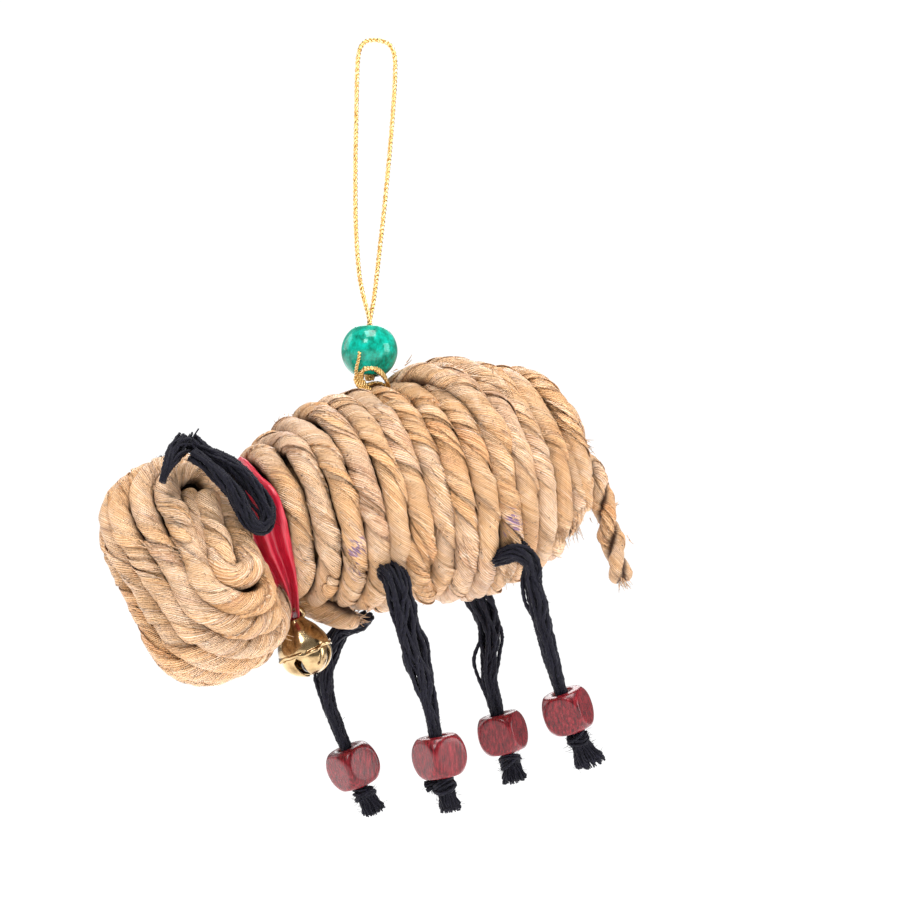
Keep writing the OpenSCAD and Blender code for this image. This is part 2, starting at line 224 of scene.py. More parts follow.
class Shell:
    """Collects swept tubes into one mesh, with a uv of mm round and mm along each tube."""

    def __init__(self):
        self.points, self.quads, self.tris = [], [], []
        self.quad_uv, self.tri_uv, self.values = [], [], {}
        self.count = 0

    def grid(self, rows, around, along, caps=True, values=None):
        """Adds closed rings of points; around and along are the uv of its columns and rows."""
        n, m = rows.shape[:2]
        index = self.count + np.arange(n * m).reshape(n, m)
        wrap = np.concatenate([index, index[:, :1]], axis=1)
        quads = np.stack([wrap[:-1, :-1], wrap[:-1, 1:], wrap[1:, 1:], wrap[1:, :-1]], axis=-1)
        self.quads.append(quads.reshape(-1, 4))
        u, v = np.meshgrid(around, along)
        uv = np.stack([u, v], axis=-1)
        self.quad_uv.append(np.stack([uv[:-1, :-1], uv[:-1, 1:], uv[1:, 1:], uv[1:, :-1]],
                                     axis=2).reshape(-1, 2))
        self.points.append(rows.reshape(-1, 3))
        self.count += n * m
        for key, data in (values or {}).items():
            self.values.setdefault(key, []).append(np.asarray(data, float).ravel())
        if caps:
            for row, order, v_end in ((0, -1, along[0]), (n - 1, 1, along[-1])):
                centre = self.count
                self.points.append(rows[row].mean(axis=0, keepdims=True))
                self.count += 1
                for key, data in (values or {}).items():
                    self.values[key].append([np.asarray(data, float).reshape(n, m)[row].mean()])
                a, b = wrap[row, :-1], wrap[row, 1:]
                tri = np.stack([a, b, np.full_like(a, centre)], axis=1)[:, ::order]
                self.tris.append(tri)
                self.tri_uv.append(np.tile([[around[0], v_end]], (tri.size, 1)))

    def tube(self, path, radius, sides, twist=0.0, side=None, values=None):
        """Sweeps a section along path; radius is a number, one a point, or (points, sides)."""
        _, a, b = frames(path, side)
        s = lengths(path)
        theta = np.arange(sides) * TURN / sides
        angle = theta[None] + np.broadcast_to(twist, s.shape)[:, None]
        radius = np.asarray(radius, float)
        if radius.ndim == 0:
            radius = np.full(len(path), float(radius))
        if radius.ndim == 1:
            radius = np.repeat(radius[:, None], sides, axis=1)
        spoke = np.cos(angle)[..., None] * a[:, None] + np.sin(angle)[..., None] * b[:, None]
        girth = TURN * float(radius.mean())
        around = np.append(theta, TURN) / TURN * girth
        self.grid(path[:, None] + radius[..., None] * spoke, around, s,
                  values={k: f(spoke) for k, f in (values or {}).items()})

    def make(self, name, material=None):
        faces = [f for f in (np.concatenate(self.quads) if self.quads else None,
                             np.concatenate(self.tris) if self.tris else None) if f is not None]
        uv = np.concatenate(self.quad_uv + self.tri_uv)
        values = {k: np.concatenate([np.ravel(x) for x in v]) for k, v in self.values.items()}
        obj = mesh_object(name, np.concatenate(self.points), faces, uv, values)
        if material:
            obj.data.materials.append(material)
        return obj


def lathe(profile, sides):
    """Rows of points for a profile of (radius, height) turned about Z."""
    p = np.asarray(profile, float)
    q = np.arange(sides) * TURN / sides
    ring = np.stack([np.cos(q), np.sin(q), np.zeros(sides)], axis=1)
    return p[:, None, :1] * ring[None] + np.array([0, 0, 1]) * p[:, None, 1:]


def tidy_normals(obj, merge=1e-7):
    """Merges doubled points and turns every face outwards."""
    bm = bmesh.new()
    bm.from_mesh(obj.data)
    bmesh.ops.remove_doubles(bm, verts=bm.verts, dist=merge)
    bmesh.ops.recalc_face_normals(bm, faces=bm.faces)
    bm.to_mesh(obj.data)
    bm.free()


def turned(points, matrix, shift):
    """Points given in a local frame whose axes are the matrix's columns."""
    return np.asarray(points) @ np.asarray(matrix).T + np.asarray(shift)


def axis_matrix(z, x_hint=(1, 0, 0)):
    """A frame whose Z is this direction, with X as near the hint as it can be."""
    z = unit(z)
    y = unit(np.cross(z, x_hint))
    return np.stack([np.cross(y, z), y, z], axis=1)


def dress(obj, body, slot_name, *nodes):
    """Hides the CAD nodes a piece stands for and hangs the piece on the body it rides on; slot_name is not
    used.
    """
    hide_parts(*nodes)
    if body:
        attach(obj, body)
    return obj


def paint_node(name, material):
    """Gives a CAD node that is shown as it is its material."""
    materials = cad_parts[name].data.materials
    materials.clear()
    materials.append(material)


# ---------------------------------------------------------------- materials
class Nodes:
    """Short names for building one material."""

    def __init__(self, name):
        self.material = bpy.data.materials.new(name)
        self.material.use_nodes = True
        self.tree = self.material.node_tree
        self.shader = self.tree.nodes["Principled BSDF"]

    def add(self, kind, inputs=None, **props):
        node = self.tree.nodes.new(kind)
        for key, value in props.items():
            setattr(node, key, value)
        for key, value in (inputs or {}).items():
            self.put(node.inputs[key], value)
        return node

    def put(self, socket, value):
        if isinstance(value, bpy.types.NodeSocket):
            self.tree.links.new(value, socket)
        else:
            socket.default_value = value

    def math(self, operation, a, b=0.0, c=0.0, clamp=False):
        node = self.add("ShaderNodeMath", {0: a, 1: b, 2: c}, operation=operation, use_clamp=clamp)
        return node.outputs[0]

    def times(self, a, b, clamp=False):
        return self.math("MULTIPLY", a, b, clamp=clamp)

    def past(self, value, threshold, gain):
        """How far a value is past a threshold, times gain, kept from 0 to 1."""
        return self.times(self.math("SUBTRACT", value, threshold, clamp=True), gain, clamp=True)

    def mix(self, factor, a, b, blend="MIX"):
        node = self.add("ShaderNodeMix", data_type="RGBA", blend_type=blend)
        for socket, value in zip([s for s in node.inputs if s.type == "RGBA"], (a, b)):
            self.put(socket, value)
        self.put(node.inputs[0], factor)
        return [s for s in node.outputs if s.type == "RGBA"][0]

    def ramp(self, factor, stops):
        node = self.add("ShaderNodeValToRGB", {0: factor})
        elements = node.color_ramp.elements
        while len(elements) < len(stops):
            elements.new(0.5)
        for element, (place, colour) in zip(elements, stops):
            element.position = place
            element.color = rgb(*colour)
        return node.outputs[0]

    def vector(self, source, scale):
        return self.add("ShaderNodeVectorMath", {0: source, 1: scale}, operation="MULTIPLY").outputs[0]

    def noise(self, source, stretch, detail, roughness, scale=1.0):
        """Noise on a vector stretched by these three numbers."""
        return self.add("ShaderNodeTexNoise", {"Vector": self.vector(source, stretch), "Scale": scale,
                                               "Detail": detail, "Roughness": roughness}).outputs[0]

    def uv(self):
        return self.add("ShaderNodeUVMap", uv_map="along").outputs[0]

    def place(self):
        return self.add("ShaderNodeTexCoord").outputs["Object"]

    def attribute(self, name):
        return self.add("ShaderNodeAttribute", attribute_name=name).outputs["Fac"]

    def bump(self, height, distance, strength=1.0, under=None):
        node = self.add("ShaderNodeBump", {"Strength": strength, "Distance": distance, "Height": height})
        if under is not None:
            self.put(node.inputs["Normal"], under)
        return node.outputs[0]

    def rough(self, value, gain, base):
        """A roughness that follows a pattern."""
        return self.math("MULTIPLY_ADD", value, gain, base)

    def surface(self, specular=0.5, **inputs):
        self.shader.inputs["Specular IOR Level"].default_value = specular
        for key, value in inputs.items():
            self.put(self.shader.inputs[key.replace("_", " ").title()], value)
        return self.material


def rgb(r, g, b):
    """A linear colour from screen values of 0 to 255."""
    linear = [((c / 255 + 0.055) / 1.055) ** 2.4 if c > 10 else c / 255 / 12.92 for c in (r, g, b)]
    return (*linear, 1.0)


PER_MM = (1000, 1000, 1000)
RIB_SLANT = 0.38
RIB_PITCH = 0.44
DYE_MARKS = [(-9.3, -19, -98.4, 3.4), (-9.1, -19, -102.4, 2.8), (20.2, -20, -93.0, 4.2)]


def dye_marks(n, colour, uv):
    """Faint violet blots where DYE_MARKS gives a place and a size."""
    blots = n.noise(uv, (1.5, 0.5, 1), 2, 0.6)
    flat_y = 0.3
    for x, y, z, size in DYE_MARKS:
        spot = n.vector(n.place(), (1000, 1000 * flat_y, 1000))
        apart = n.add("ShaderNodeVectorMath", {0: spot, 1: (x, flat_y * y, z)}, operation="DISTANCE")
        mark = n.math("SUBTRACT", 1.0, n.math("DIVIDE", apart.outputs["Value"], size), clamp=True)
        inked = n.past(n.math("ADD", n.times(mark, 0.26), blots), 0.66, 9.0)
        inked = n.times(inked, n.times(mark, 3.0, clamp=True))
        colour = n.mix(n.times(inked, 0.85), colour, rgb(112, 84, 148))
    return colour


def straw_material():
    """Twisted leaf: fine ribs along the fibre, golden and greyish strands, papery patches, crumpled creases,
    and painted shade in the grooves and at the leaf edges.
    """
    n = Nodes("straw")
    flat = n.add("ShaderNodeSeparateXYZ", {0: n.uv()}).outputs
    u = n.math("MULTIPLY_ADD", flat[1], RIB_SLANT, flat[0])
    uv = n.add("ShaderNodeCombineXYZ", {0: u, 1: flat[1]}).outputs[0]
    tint = n.attribute("tint")
    patch = n.noise(uv, (0.16, 0.06, 1), 3, 0.6)
    streak = n.noise(uv, (1.5, 0.07, 1), 3, 0.6)
    fine = n.noise(uv, (6.0, 0.16, 1), 2, 0.6)
    hue = n.math("ADD", n.times(tint, 0.55), n.math("MULTIPLY_ADD", patch, 0.9, -0.22))
    colour = n.ramp(hue, [(0.10, (208, 146, 92)), (0.28, (228, 178, 124)), (0.46, (234, 194, 152)),
                          (0.64, (240, 214, 192)), (0.90, (196, 160, 142))])
    streaks = n.ramp(streak, [(0.26, (132, 82, 50)), (0.44, (222, 176, 132)), (0.58, (236, 198, 158)),
                              (0.74, (255, 240, 220))])
    colour = n.mix(0.5, colour, streaks)
    paper = n.past(n.noise(n.place(), PER_MM, 4, 0.62, 0.42), 0.545, 8.0)
    paper = n.times(paper, n.math("MULTIPLY_ADD", tint, 0.8, 0.15, clamp=True))
    colour = n.mix(n.times(paper, 0.72), colour, rgb(244, 224, 206))
    stain = n.past(n.noise(uv, (0.5, 0.16, 1), 4, 0.65), 0.58, 6.0)
    colour = n.mix(n.times(stain, 0.75), colour, rgb(140, 92, 62))
    speck = n.past(n.noise(n.place(), PER_MM, 2, 0.5, 1.3), 0.67, 9.0)
    colour = n.mix(speck, colour, rgb(84, 54, 38))
    colour = dye_marks(n, colour, uv)

    drift = n.noise(uv, (0.30, 0.05, 1), 2, 0.5)
    rib = n.math("SINE", n.math("MULTIPLY_ADD", u, TURN / RIB_PITCH, n.times(drift, 14.0)))
    shade = n.times(n.math("MULTIPLY_ADD", rib, 0.20, 0.86), n.math("MULTIPLY_ADD", fine, 1.2, 0.34))
    warm = n.add("ShaderNodeCombineColor", {0: n.math("POWER", shade, 0.55), 1: shade,
                                            2: n.math("POWER", shade, 1.7)}).outputs[0]
    colour = n.mix(1.0, colour, warm, "MULTIPLY")
    # painted shadow at leaf overlaps and under loose flakes, broken up by the streak noise
    edge = n.times(n.attribute("leaf_edge_shadow"), n.times(streak, 1.1), clamp=True)
    colour = n.mix(edge, colour, rgb(100, 60, 36))
    # painted shade: the strand's sides that face the core are mixed toward dark brown, standing in for the
    # shade in the grooves between turns
    groove_shade = n.times(n.math("POWER", n.attribute("groove_shade"), 1.3), 0.94, clamp=True)
    colour = n.mix(groove_shade, colour, rgb(70, 42, 26))
    crumple = n.noise(n.place(), PER_MM, 4, 0.6, 0.9)
    height = n.math("MULTIPLY_ADD", rib, 0.5, n.times(fine, 1.2))
    rough = n.math("ADD", n.rough(streak, 0.30, 0.32), n.times(paper, 0.2))
    return n.surface(base_color=colour, roughness=rough,
                     normal=n.bump(height, 0.00022, 1.0, n.bump(crumple, 0.0013, 0.7)))


def core_material():
    """Packed straw seen only through gaps, in a dark brown that is painted shade for those gaps."""
    n = Nodes("straw_core")
    fibre = n.noise(n.place(), PER_MM, 4, 0.6, 0.9)
    return n.surface(base_color=n.ramp(fibre, [(0.3, (70, 44, 24)), (0.7, (134, 98, 60))]), roughness=0.8,
                     normal=n.bump(fibre, 0.0003, 0.8))


def yarn_material():
    """Black cotton: fine fibres along each thread and a soft lint sheen."""
    n = Nodes("black_yarn")
    fibre = n.noise(n.uv(), (6.0, 0.9, 1), 3, 0.6)
    lint = n.past(n.noise(n.place(), PER_MM, 4, 0.7, 2.2), 0.6, 3.0)
    colour = n.ramp(fibre, [(0.3, (4, 3, 10)), (0.55, (13, 12, 24)), (0.8, (38, 36, 55))])
    colour = n.mix(lint, colour, rgb(60, 58, 76))
    return n.surface(specular=0.15, sheen_weight=0.06, sheen_roughness=0.4, base_color=colour,
                     roughness=n.rough(fibre, 0.2, 0.5), normal=n.bump(fibre, 0.00008, 0.8))


def red_wood_material():
    """Stained and varnished wood: streaky grain, darker pores, lacquer gloss."""
    n = Nodes("red_wood")
    place = n.place()
    grain = n.noise(place, (2600, 2600, 420), 4, 0.62)
    pore = n.noise(place, (4200, 4200, 700), 3, 0.6)
    blotch = n.noise(place, (260, 260, 180), 3, 0.5)
    colour = n.ramp(grain, [(0.34, (44, 2, 8)), (0.5, (98, 8, 18)), (0.68, (142, 34, 44))])
    colour = n.mix(n.times(blotch, 0.45), colour, rgb(76, 6, 16))
    colour = n.mix(n.past(pore, 0.56, 4.0), colour, rgb(52, 6, 14))
    return n.surface(specular=0.1, coat_weight=0.45, coat_roughness=0.22, base_color=colour,
                     roughness=n.rough(grain, 0.3, 0.2),
                     normal=n.bump(n.math("ADD", grain, pore), 0.00009, 0.8))


def green_wood_material():
    """Emerald stain under thick varnish, mottled where the wood drank more of it."""
    n = Nodes("green_wood")
    place = n.place()
    mottle = n.noise(place, (760, 760, 560), 5, 0.66)
    grain = n.noise(place, (1500, 1500, 350), 3, 0.6)
    colour = n.ramp(mottle, [(0.3, (0, 80, 62)), (0.48, (0, 132, 110)), (0.66, (0, 166, 146))])
    colour = n.mix(n.past(grain, 0.55, 2.2), colour, rgb(0, 74, 56))
    # painted shade: the bore and its mouth turn a dark green where the recess falls in shadow
    colour = n.mix(n.attribute("rim"), colour, rgb(24, 50, 36))
    return n.surface(specular=0.06, coat_weight=0.4, coat_roughness=0.05, base_color=colour, roughness=0.28,
                     normal=n.bump(mottle, 0.00012, 0.5))


def gold_thread_material():
    """Metallic film wound over thread."""
    n = Nodes("gold_thread")
    strip = n.noise(n.uv(), (3.0, 1.6, 1), 2, 0.5)
    colour = n.ramp(strip, [(0.3, (150, 108, 52)), (0.5, (214, 176, 108)), (0.72, (250, 230, 188))])
    return n.surface(base_color=colour, metallic=0.9, roughness=n.rough(strip, 0.2, 0.22),
                     normal=n.bump(strip, 0.00008, 0.6))


def brass_material():
    """Polished thin brass with faint drawing marks and tarnish."""
    n = Nodes("bell_brass")
    place = n.place()
    smear = n.noise(place, (320, 320, 320), 4, 0.6)
    mark = n.noise(place, (900, 900, 5200), 2, 0.5)
    colour = n.ramp(smear, [(0.3, (122, 98, 66)), (0.55, (176, 150, 112)), (0.8, (206, 186, 150))])
    return n.surface(base_color=colour, metallic=1.0, roughness=n.rough(smear, 0.22, 0.07),
                     normal=n.bump(mark, 0.00003, 0.35))


def satin_material():
    """Red satin: long floats across the ribbon that catch the light in streaks."""
    n = Nodes("red_satin")
    uv = n.uv()
    thread = n.noise(uv, (5.0, 0.22, 1), 3, 0.6)
    weave = n.noise(uv, (1.0, 9.0, 1), 2, 0.5)
    # the thread's own tone, with painted sheen: the pale pink end of this ramp paints the streaks where the
    # floats catch the light
    colour = n.ramp(thread, [(0.3, (136, 2, 28)), (0.55, (176, 4, 40)), (0.8, (220, 52, 80))])
    return n.surface(sheen_weight=0.28, sheen_roughness=0.25, sheen_tint=rgb(255, 170, 180), anisotropic=0.6,
                     base_color=colour, roughness=n.rough(thread, 0.18, 0.24),
                     normal=n.bump(n.math("ADD", thread, n.times(weave, 0.6)), 0.00009, 0.7))


def steel_material():
    """Plain steel pellet."""
    n = Nodes("pellet_steel")
    smear = n.noise(n.place(), (700, 700, 700), 3, 0.6)
    colour = n.ramp(smear, [(0.3, (120, 118, 114)), (0.7, (176, 174, 170))])
    return n.surface(base_color=colour, metallic=1.0, roughness=n.rough(smear, 0.3, 0.25))


# ---------------------------------------------------------------- straw
U_AXIS = np.array([math.cos(BODY_PITCH), 0, math.sin(BODY_PITCH)])
W_AXIS = np.array([-math.sin(BODY_PITCH), 0, math.cos(BODY_PITCH)])
V_AXIS = np.array([0, 1, 0])


def turn_s(i):
    return FIRST_TURN + i * COIL_PITCH


def body_radius(s):
    """Outer radius of the winding at a place along the body's axis."""
    reach = np.where(s < WIDEST_AT, FRONT_REACH, REAR_REACH)
    dip = TIE_DIP * np.exp(-((s - turn_s(TIE_TURN)) / 6) ** 2)
    return BODY_R * np.sqrt(np.maximum(0, 1 - ((s - WIDEST_AT) / reach) ** 2)) - dip


def body_point(s, y, h):
    s, y, h = (np.asarray(x, float)[..., None] for x in (s, y, h))
    return BODY_MID + s * U_AXIS + y * V_AXIS + h * W_AXIS


TIE_POINT = body_point(turn_s(TIE_TURN), 0, body_radius(turn_s(TIE_TURN)) - STRAND_R)


class Strand:
    """One strand of leaf twisted on itself: a stepped leaf edge spirals round it."""

    def __init__(self, path, outward, radius=STRAND_R, lay=19.0, seed=0):
        self.path, self.outward, self.radius, self.seed = path, outward, radius, seed
        self.s = lengths(path)
        self.rng = np.random.default_rng(seed)
        _, self.a, self.b = frames(path)
        start = self.rng.uniform(0, TURN)
        self.twist = start - TURN * self.s / lay - 0.9 * wander(self.s, 42, seed + 1)
        self.tint = 0.5 + 0.42 * wander(self.s, 75, seed + 7) + 0.16 * wander(self.s, 19, seed + 8)

    def spoke(self, angle, part=slice(None)):
        """Unit vectors from the strand's middle at these angles."""
        return np.cos(angle)[..., None] * self.a[part, None] + np.sin(angle)[..., None] * self.b[part, None]

    def groove_shade(self, spoke, part=slice(None)):
        """How far each point faces the core, from 0 on the outer face to 1; this is the mask of the painted
        shade in the grooves.
        """
        facing = np.einsum("nsk,nk->ns", spoke, self.outward[part])
        return np.clip((0.30 - facing) / 0.62, 0, 1)

    def skin(self, shell, sides=30, tuck=(1.0, 1.0)):
        s, seed = self.s, self.seed
        seam = 0.07
        theta = np.arange(sides) * (TURN - seam) / (sides - 1)
        share = theta / TURN
        step = 0.18 + 0.11 * wander(s, 22, seed + 2)
        profile = 1 + step[:, None] * (share[None] - 0.5)
        profile += 0.05 * np.cos(2 * theta[None] + 3 * wander(s, 30, seed + 3)[:, None])
        second = np.clip(wander(s, 35, seed + 4), 0, 1)[:, None] * 0.12
        profile += second * ((share[None] + 0.45) % 1 - 0.5)
        profile += 0.045 * wander(s, 3.4, seed + 9)[:, None] * np.cos(theta[None] * 2 + 1)
        profile += 0.030 * wander(s, 1.9, seed + 10)[:, None] * np.cos(theta[None] * 3 + 2)
        profile *= 1 + 0.055 * wander(s, 17, seed + 5)[:, None]
        ends = np.minimum(1, np.minimum((s + 0.15) / tuck[0], (s[-1] - s + 0.15) / tuck[1]))
        profile *= np.sqrt(np.clip(ends, 0, 1))[:, None]
        # painted shadow: a dark band at the foot of the leaf's step, a fainter one along the raised edge,
        # and one at the second leaf's gap; its strength varies along the strand
        edge = np.exp(-(theta / 0.30) ** 2) + 0.25 * np.exp(-((TURN - seam - theta) / 0.25) ** 2)
        gap = ((share + 0.45) % 1 < 0.05) * 1.0
        edge_shadow_strength = np.clip(0.7 + 0.5 * wander(s, 19, seed + 6), 0.1, 1)[:, None]
        edge = edge[None] * edge_shadow_strength + gap[None] * second * 5
        angle = theta[None] + self.twist[:, None]
        spoke = self.spoke(angle)
        rows = self.path[:, None] + (self.radius * profile)[..., None] * spoke
        around = np.append(theta, TURN) * self.radius
        shell.grid(rows, around, s, values={
            "groove_shade": self.groove_shade(spoke), "leaf_edge_shadow": np.clip(edge, 0, 1),
            "tint": np.repeat(self.tint[:, None], sides, axis=1)})

    def flakes(self, shell, count):
        """Loose leaf edges that lie along the twist on the strand's outer face."""
        rng, s = self.rng, self.s
        across = np.linspace(-1, 1, 8)
        for _ in range(count):
            length = min(rng.uniform(6, 16), 0.6 * s[-1])
            margin = min(2, 0.1 * s[-1])
            first = rng.uniform(margin, s[-1] - length - margin)
            i, j = np.searchsorted(s, [first, first + length])
            middle = (i + j) // 2
            out = self.outward[middle]
            theta = math.atan2(out @ self.b[middle], out @ self.a[middle]) - self.twist[middle]
            theta += rng.uniform(-0.8, 0.8)
            t = np.linspace(0.015, 0.985, j - i)
            half = rng.uniform(0.4, 0.85) * np.sin(math.pi * t ** rng.uniform(0.7, 1.4)) ** 0.6
            lift = rng.uniform(0.14, 0.5) * rng.choice([-1, 1])
            rise = np.abs(lift) * ((np.sign(lift) * across[None] + 1) / 2) ** 2
            rise = rise * np.sin(math.pi * t)[:, None] ** 0.5
            height = self.radius * 1.045 + rise + 0.05 * wander(s[i:j], 5, int(rng.integers(9999)))[:, None]
            part = slice(i, j)
            angle = theta + self.twist[part, None] + across[None] * half[:, None]
            spoke = self.spoke(angle, part)
            top = self.path[part, None] + height[..., None] * spoke
            under = self.path[part, None] + (height - 0.16)[..., None] * spoke
            rows = np.concatenate([top, under[:, ::-1]], axis=1)
            u = (theta + np.append(across, across[::-1]) * half.mean()) * self.radius
            # painted shadow: darker toward the flake's side edges and dark over its whole underside
            edge = np.abs(np.append(across, across[::-1])) ** 8 * 0.55
            edge[8:] = 1
            shade = self.groove_shade(spoke, part)
            tint = self.tint[middle] + rng.uniform(-0.35, 0.4)
            shell.grid(rows, np.append(u, u[0]), s[i:j], values={
                "groove_shade": np.concatenate([shade, shade[:, ::-1]], axis=1),
                "leaf_edge_shadow": np.broadcast_to(edge, rows.shape[:2]),
                "tint": np.full(rows.shape[:2], tint)})

    def fibres(self, shell, clusters, each=7, reach=4.0):
        """Frayed fibres that stand off the strand's outer face."""
        rng, s = self.rng, self.s
        for _ in range(clusters):
            i = int(rng.integers(4, len(s) - 4))
            out, along = self.outward[i], unit(self.path[i + 2] - self.path[i - 2])
            across = np.cross(out, along)
            root = self.path[i] + self.radius * unit(out + rng.uniform(-0.6, 0.6) * across)
            lean = unit(along * rng.choice([-1, 1]) + rng.uniform(-0.9, 0.9) * across)
            fray(shell, root, lean, out, each, reach * rng.uniform(0.5, 1.1), rng)


def constant(value):
    """A point value that is the same all over a tube."""
    return lambda spoke: np.full(spoke.shape[:2], value)


def fray(shell, root, lean, out, count, reach, rng, spread=0.5):
    """A tuft of fibres from one place, leaning one way and curling up."""
    thick = 0.085
    t = np.linspace(0, 1, 7)[:, None]
    for _ in range(count):
        way = unit(lean + rng.normal(0, spread, 3) * 0.6)
        length = reach * rng.uniform(0.35, 1.0)
        start = root + rng.normal(0, 0.55, 3)
        curl = rng.uniform(0.02, 0.28) * length
        line = start + way * length * t + out * (curl * t ** 2 - 0.2) + rng.normal(0, 0.12, 3) * t ** 3
        shell.tube(line, thick * (1.15 - t[:, 0]) + 0.02, 4, values={
            "groove_shade": constant(0), "leaf_edge_shadow": constant(0), "tint": constant(rng.uniform(0.6, 1.1))})


def resample_with(path, vectors, step):
    """Resamples a path and the unit vectors that go with its points."""
    s = lengths(path)
    even = np.linspace(0, s[-1], int(s[-1] / step) + 1)
    path, vectors = (np.stack([np.interp(even, s, data[:, k]) for k in range(3)], axis=1)
                     for data in (path, vectors))
    return path, unit(vectors)


def body_winding():
    """The strand's path round the body, closing in a spiral on the rump."""
    t = np.arange(-0.42, COIL_COUNT + 0.95, 0.004)
    last, mean_r = COIL_COUNT - 1, 17
    closing, final = np.clip(t - last, 0, 1), np.clip(t - last - 1, 0, 1)
    even = turn_s(np.minimum(t, last))
    s = even + 1.5 * closing - 1.6 * final
    r = (body_radius(even) - STRAND_R) * (1 - closing) + 7.1 * closing - 4.1 * final
    bead_room = 0.75 * np.exp(-((t - TIE_TURN - 1) / 0.08) ** 2)
    r = r - bead_room
    along = TURN * mean_r * t
    calm = np.clip(1 - np.abs(t - TIE_TURN) / 0.4, 0, 1)
    s = s + (0.26 * wander(along, 60, 11) + 0.12 * wander(along, 21, 13)) * (1 - calm)
    r = r + (0.34 * wander(along, 43, 12) + 0.14 * wander(along, 18, 14)) * (1 - calm)
    q = TURN * (t + 0.25)
    spoke = np.cos(q)[:, None] * V_AXIS + np.sin(q)[:, None] * W_AXIS
    path = body_point(s, 0 * s, 0 * s) + r[:, None] * spoke
    return resample_with(path, spoke, 0.5)


def over_strand(places):
    """A path over the body through (turns, degrees from the right side over the back, height)."""
    q = np.radians([place[1] for place in places])
    s = turn_s(np.array([place[0] for place in places], float))
    r = body_radius(s) + np.array([place[2] for place in places], float)
    path = smooth(body_point(s, r * np.cos(q), r * np.sin(q)), 0.5)
    axis = BODY_MID + ((path - BODY_MID) @ U_AXIS)[:, None] * U_AXIS
    return path, unit(path - axis)


def euler_matrix(turns):
    """The rotation that OpenSCAD's rotate makes: about X, then Y, then Z."""
    a, b, c = turns
    x = np.array([[1, 0, 0], [0, math.cos(a), -math.sin(a)], [0, math.sin(a), math.cos(a)]])
    y = np.array([[math.cos(b), 0, math.sin(b)], [0, 1, 0], [-math.sin(b), 0, math.cos(b)]])
    z = np.array([[math.cos(c), -math.sin(c), 0], [math.sin(c), math.cos(c), 0], [0, 0, 1]])
    return z @ y @ x


HEAD_AXES = euler_matrix(HEAD_TURN)


def oval(turn, r, half):
    """Points on an oval of two half circles and two straights; turn counts its laps."""
    lap = turn % 1
    whole = TURN * r + 4 * half
    arc = math.pi * r / whole
    straight = 2 * half / whole
    up = lap < straight
    top = (lap >= straight) & (lap < straight + arc)
    down = (lap >= straight + arc) & (lap < 2 * straight + arc)
    q_top = math.pi * (lap - straight) / arc
    q_low = math.pi * (lap - 2 * straight - arc) / arc
    x = np.select([up, top, down], [-r, -r * np.cos(q_top), r], r * np.cos(q_low))
    y = np.select([up, top, down], [-half + 2 * half * lap / straight, half + r * np.sin(q_top),
                                    half - 2 * half * (lap - straight - arc) / straight],
                  -half - r * np.sin(q_low))
    return x, y


def head_winding():
    """The strand's path round the head, from the far pole to the finger at the near one."""
    ring_r, pole = HEAD_R - STRAND_R, HEAD_N - STRAND_R
    inner_r, spacing, step = 1.05, 4.25, 0.002
    mu, turn = math.radians(-84), 0.0
    mus, turns = [], []
    while mu < math.acos(inner_r / ring_r):
        mus.append(mu)
        turns.append(turn)
        mu += step * spacing / math.hypot(ring_r * math.sin(mu), pole * math.cos(mu))
        turn += step
    mus, turns = np.array(mus), np.array(turns)
    finger = 2 * HEAD_HALF / (TURN * inner_r + 4 * HEAD_HALF)
    turns = turns - turns[-1] + 40 + finger * 0.95
    mean_lap = 75
    along = turns * mean_lap
    r = ring_r * np.cos(mus) + 0.22 * wander(along, 60, 31) * np.clip(ring_r * np.cos(mus) / 5, 0, 1)
    n = pole * np.sin(mus) + 0.34 * wander(along, 47, 32)
    half = HEAD_HALF + 0.4 * wander(along, 90, 33) - 0.10 * np.maximum(0, n - 9)
    x, y = oval(turns, r, half)
    near = np.clip((n - 1) / 11.5, 0, 1)
    near = near * near * (3 - 2 * near)
    lean = np.radians(np.interp(n, [-5, 3, 7, 10, 12, 13], [0, 13, 8, 3, 1, -6]))
    x = x + 1.25 * np.clip((turns - turns[-1] + 0.46) / 0.12, 0, 1)
    round_y = np.sign(y) * np.maximum(np.abs(y) - HEAD_HALF, 0)
    across = np.stack([x, round_y, n * (ring_r / pole) ** 2], axis=1)
    squeeze = np.maximum(0, x - 3) * np.clip((n - 1) / 5, 0, 1)
    x, n = x - 0.42 * squeeze, n - 0.22 * squeeze
    x, y = x * np.cos(lean) - y * np.sin(lean), x * np.sin(lean) + y * np.cos(lean)
    local = np.stack([x + 0.5 * near, y + 1.4 * near, n], axis=1)
    return resample_with(turned(local, HEAD_AXES, HEAD_MID), unit(across) @ HEAD_AXES.T, 0.5)


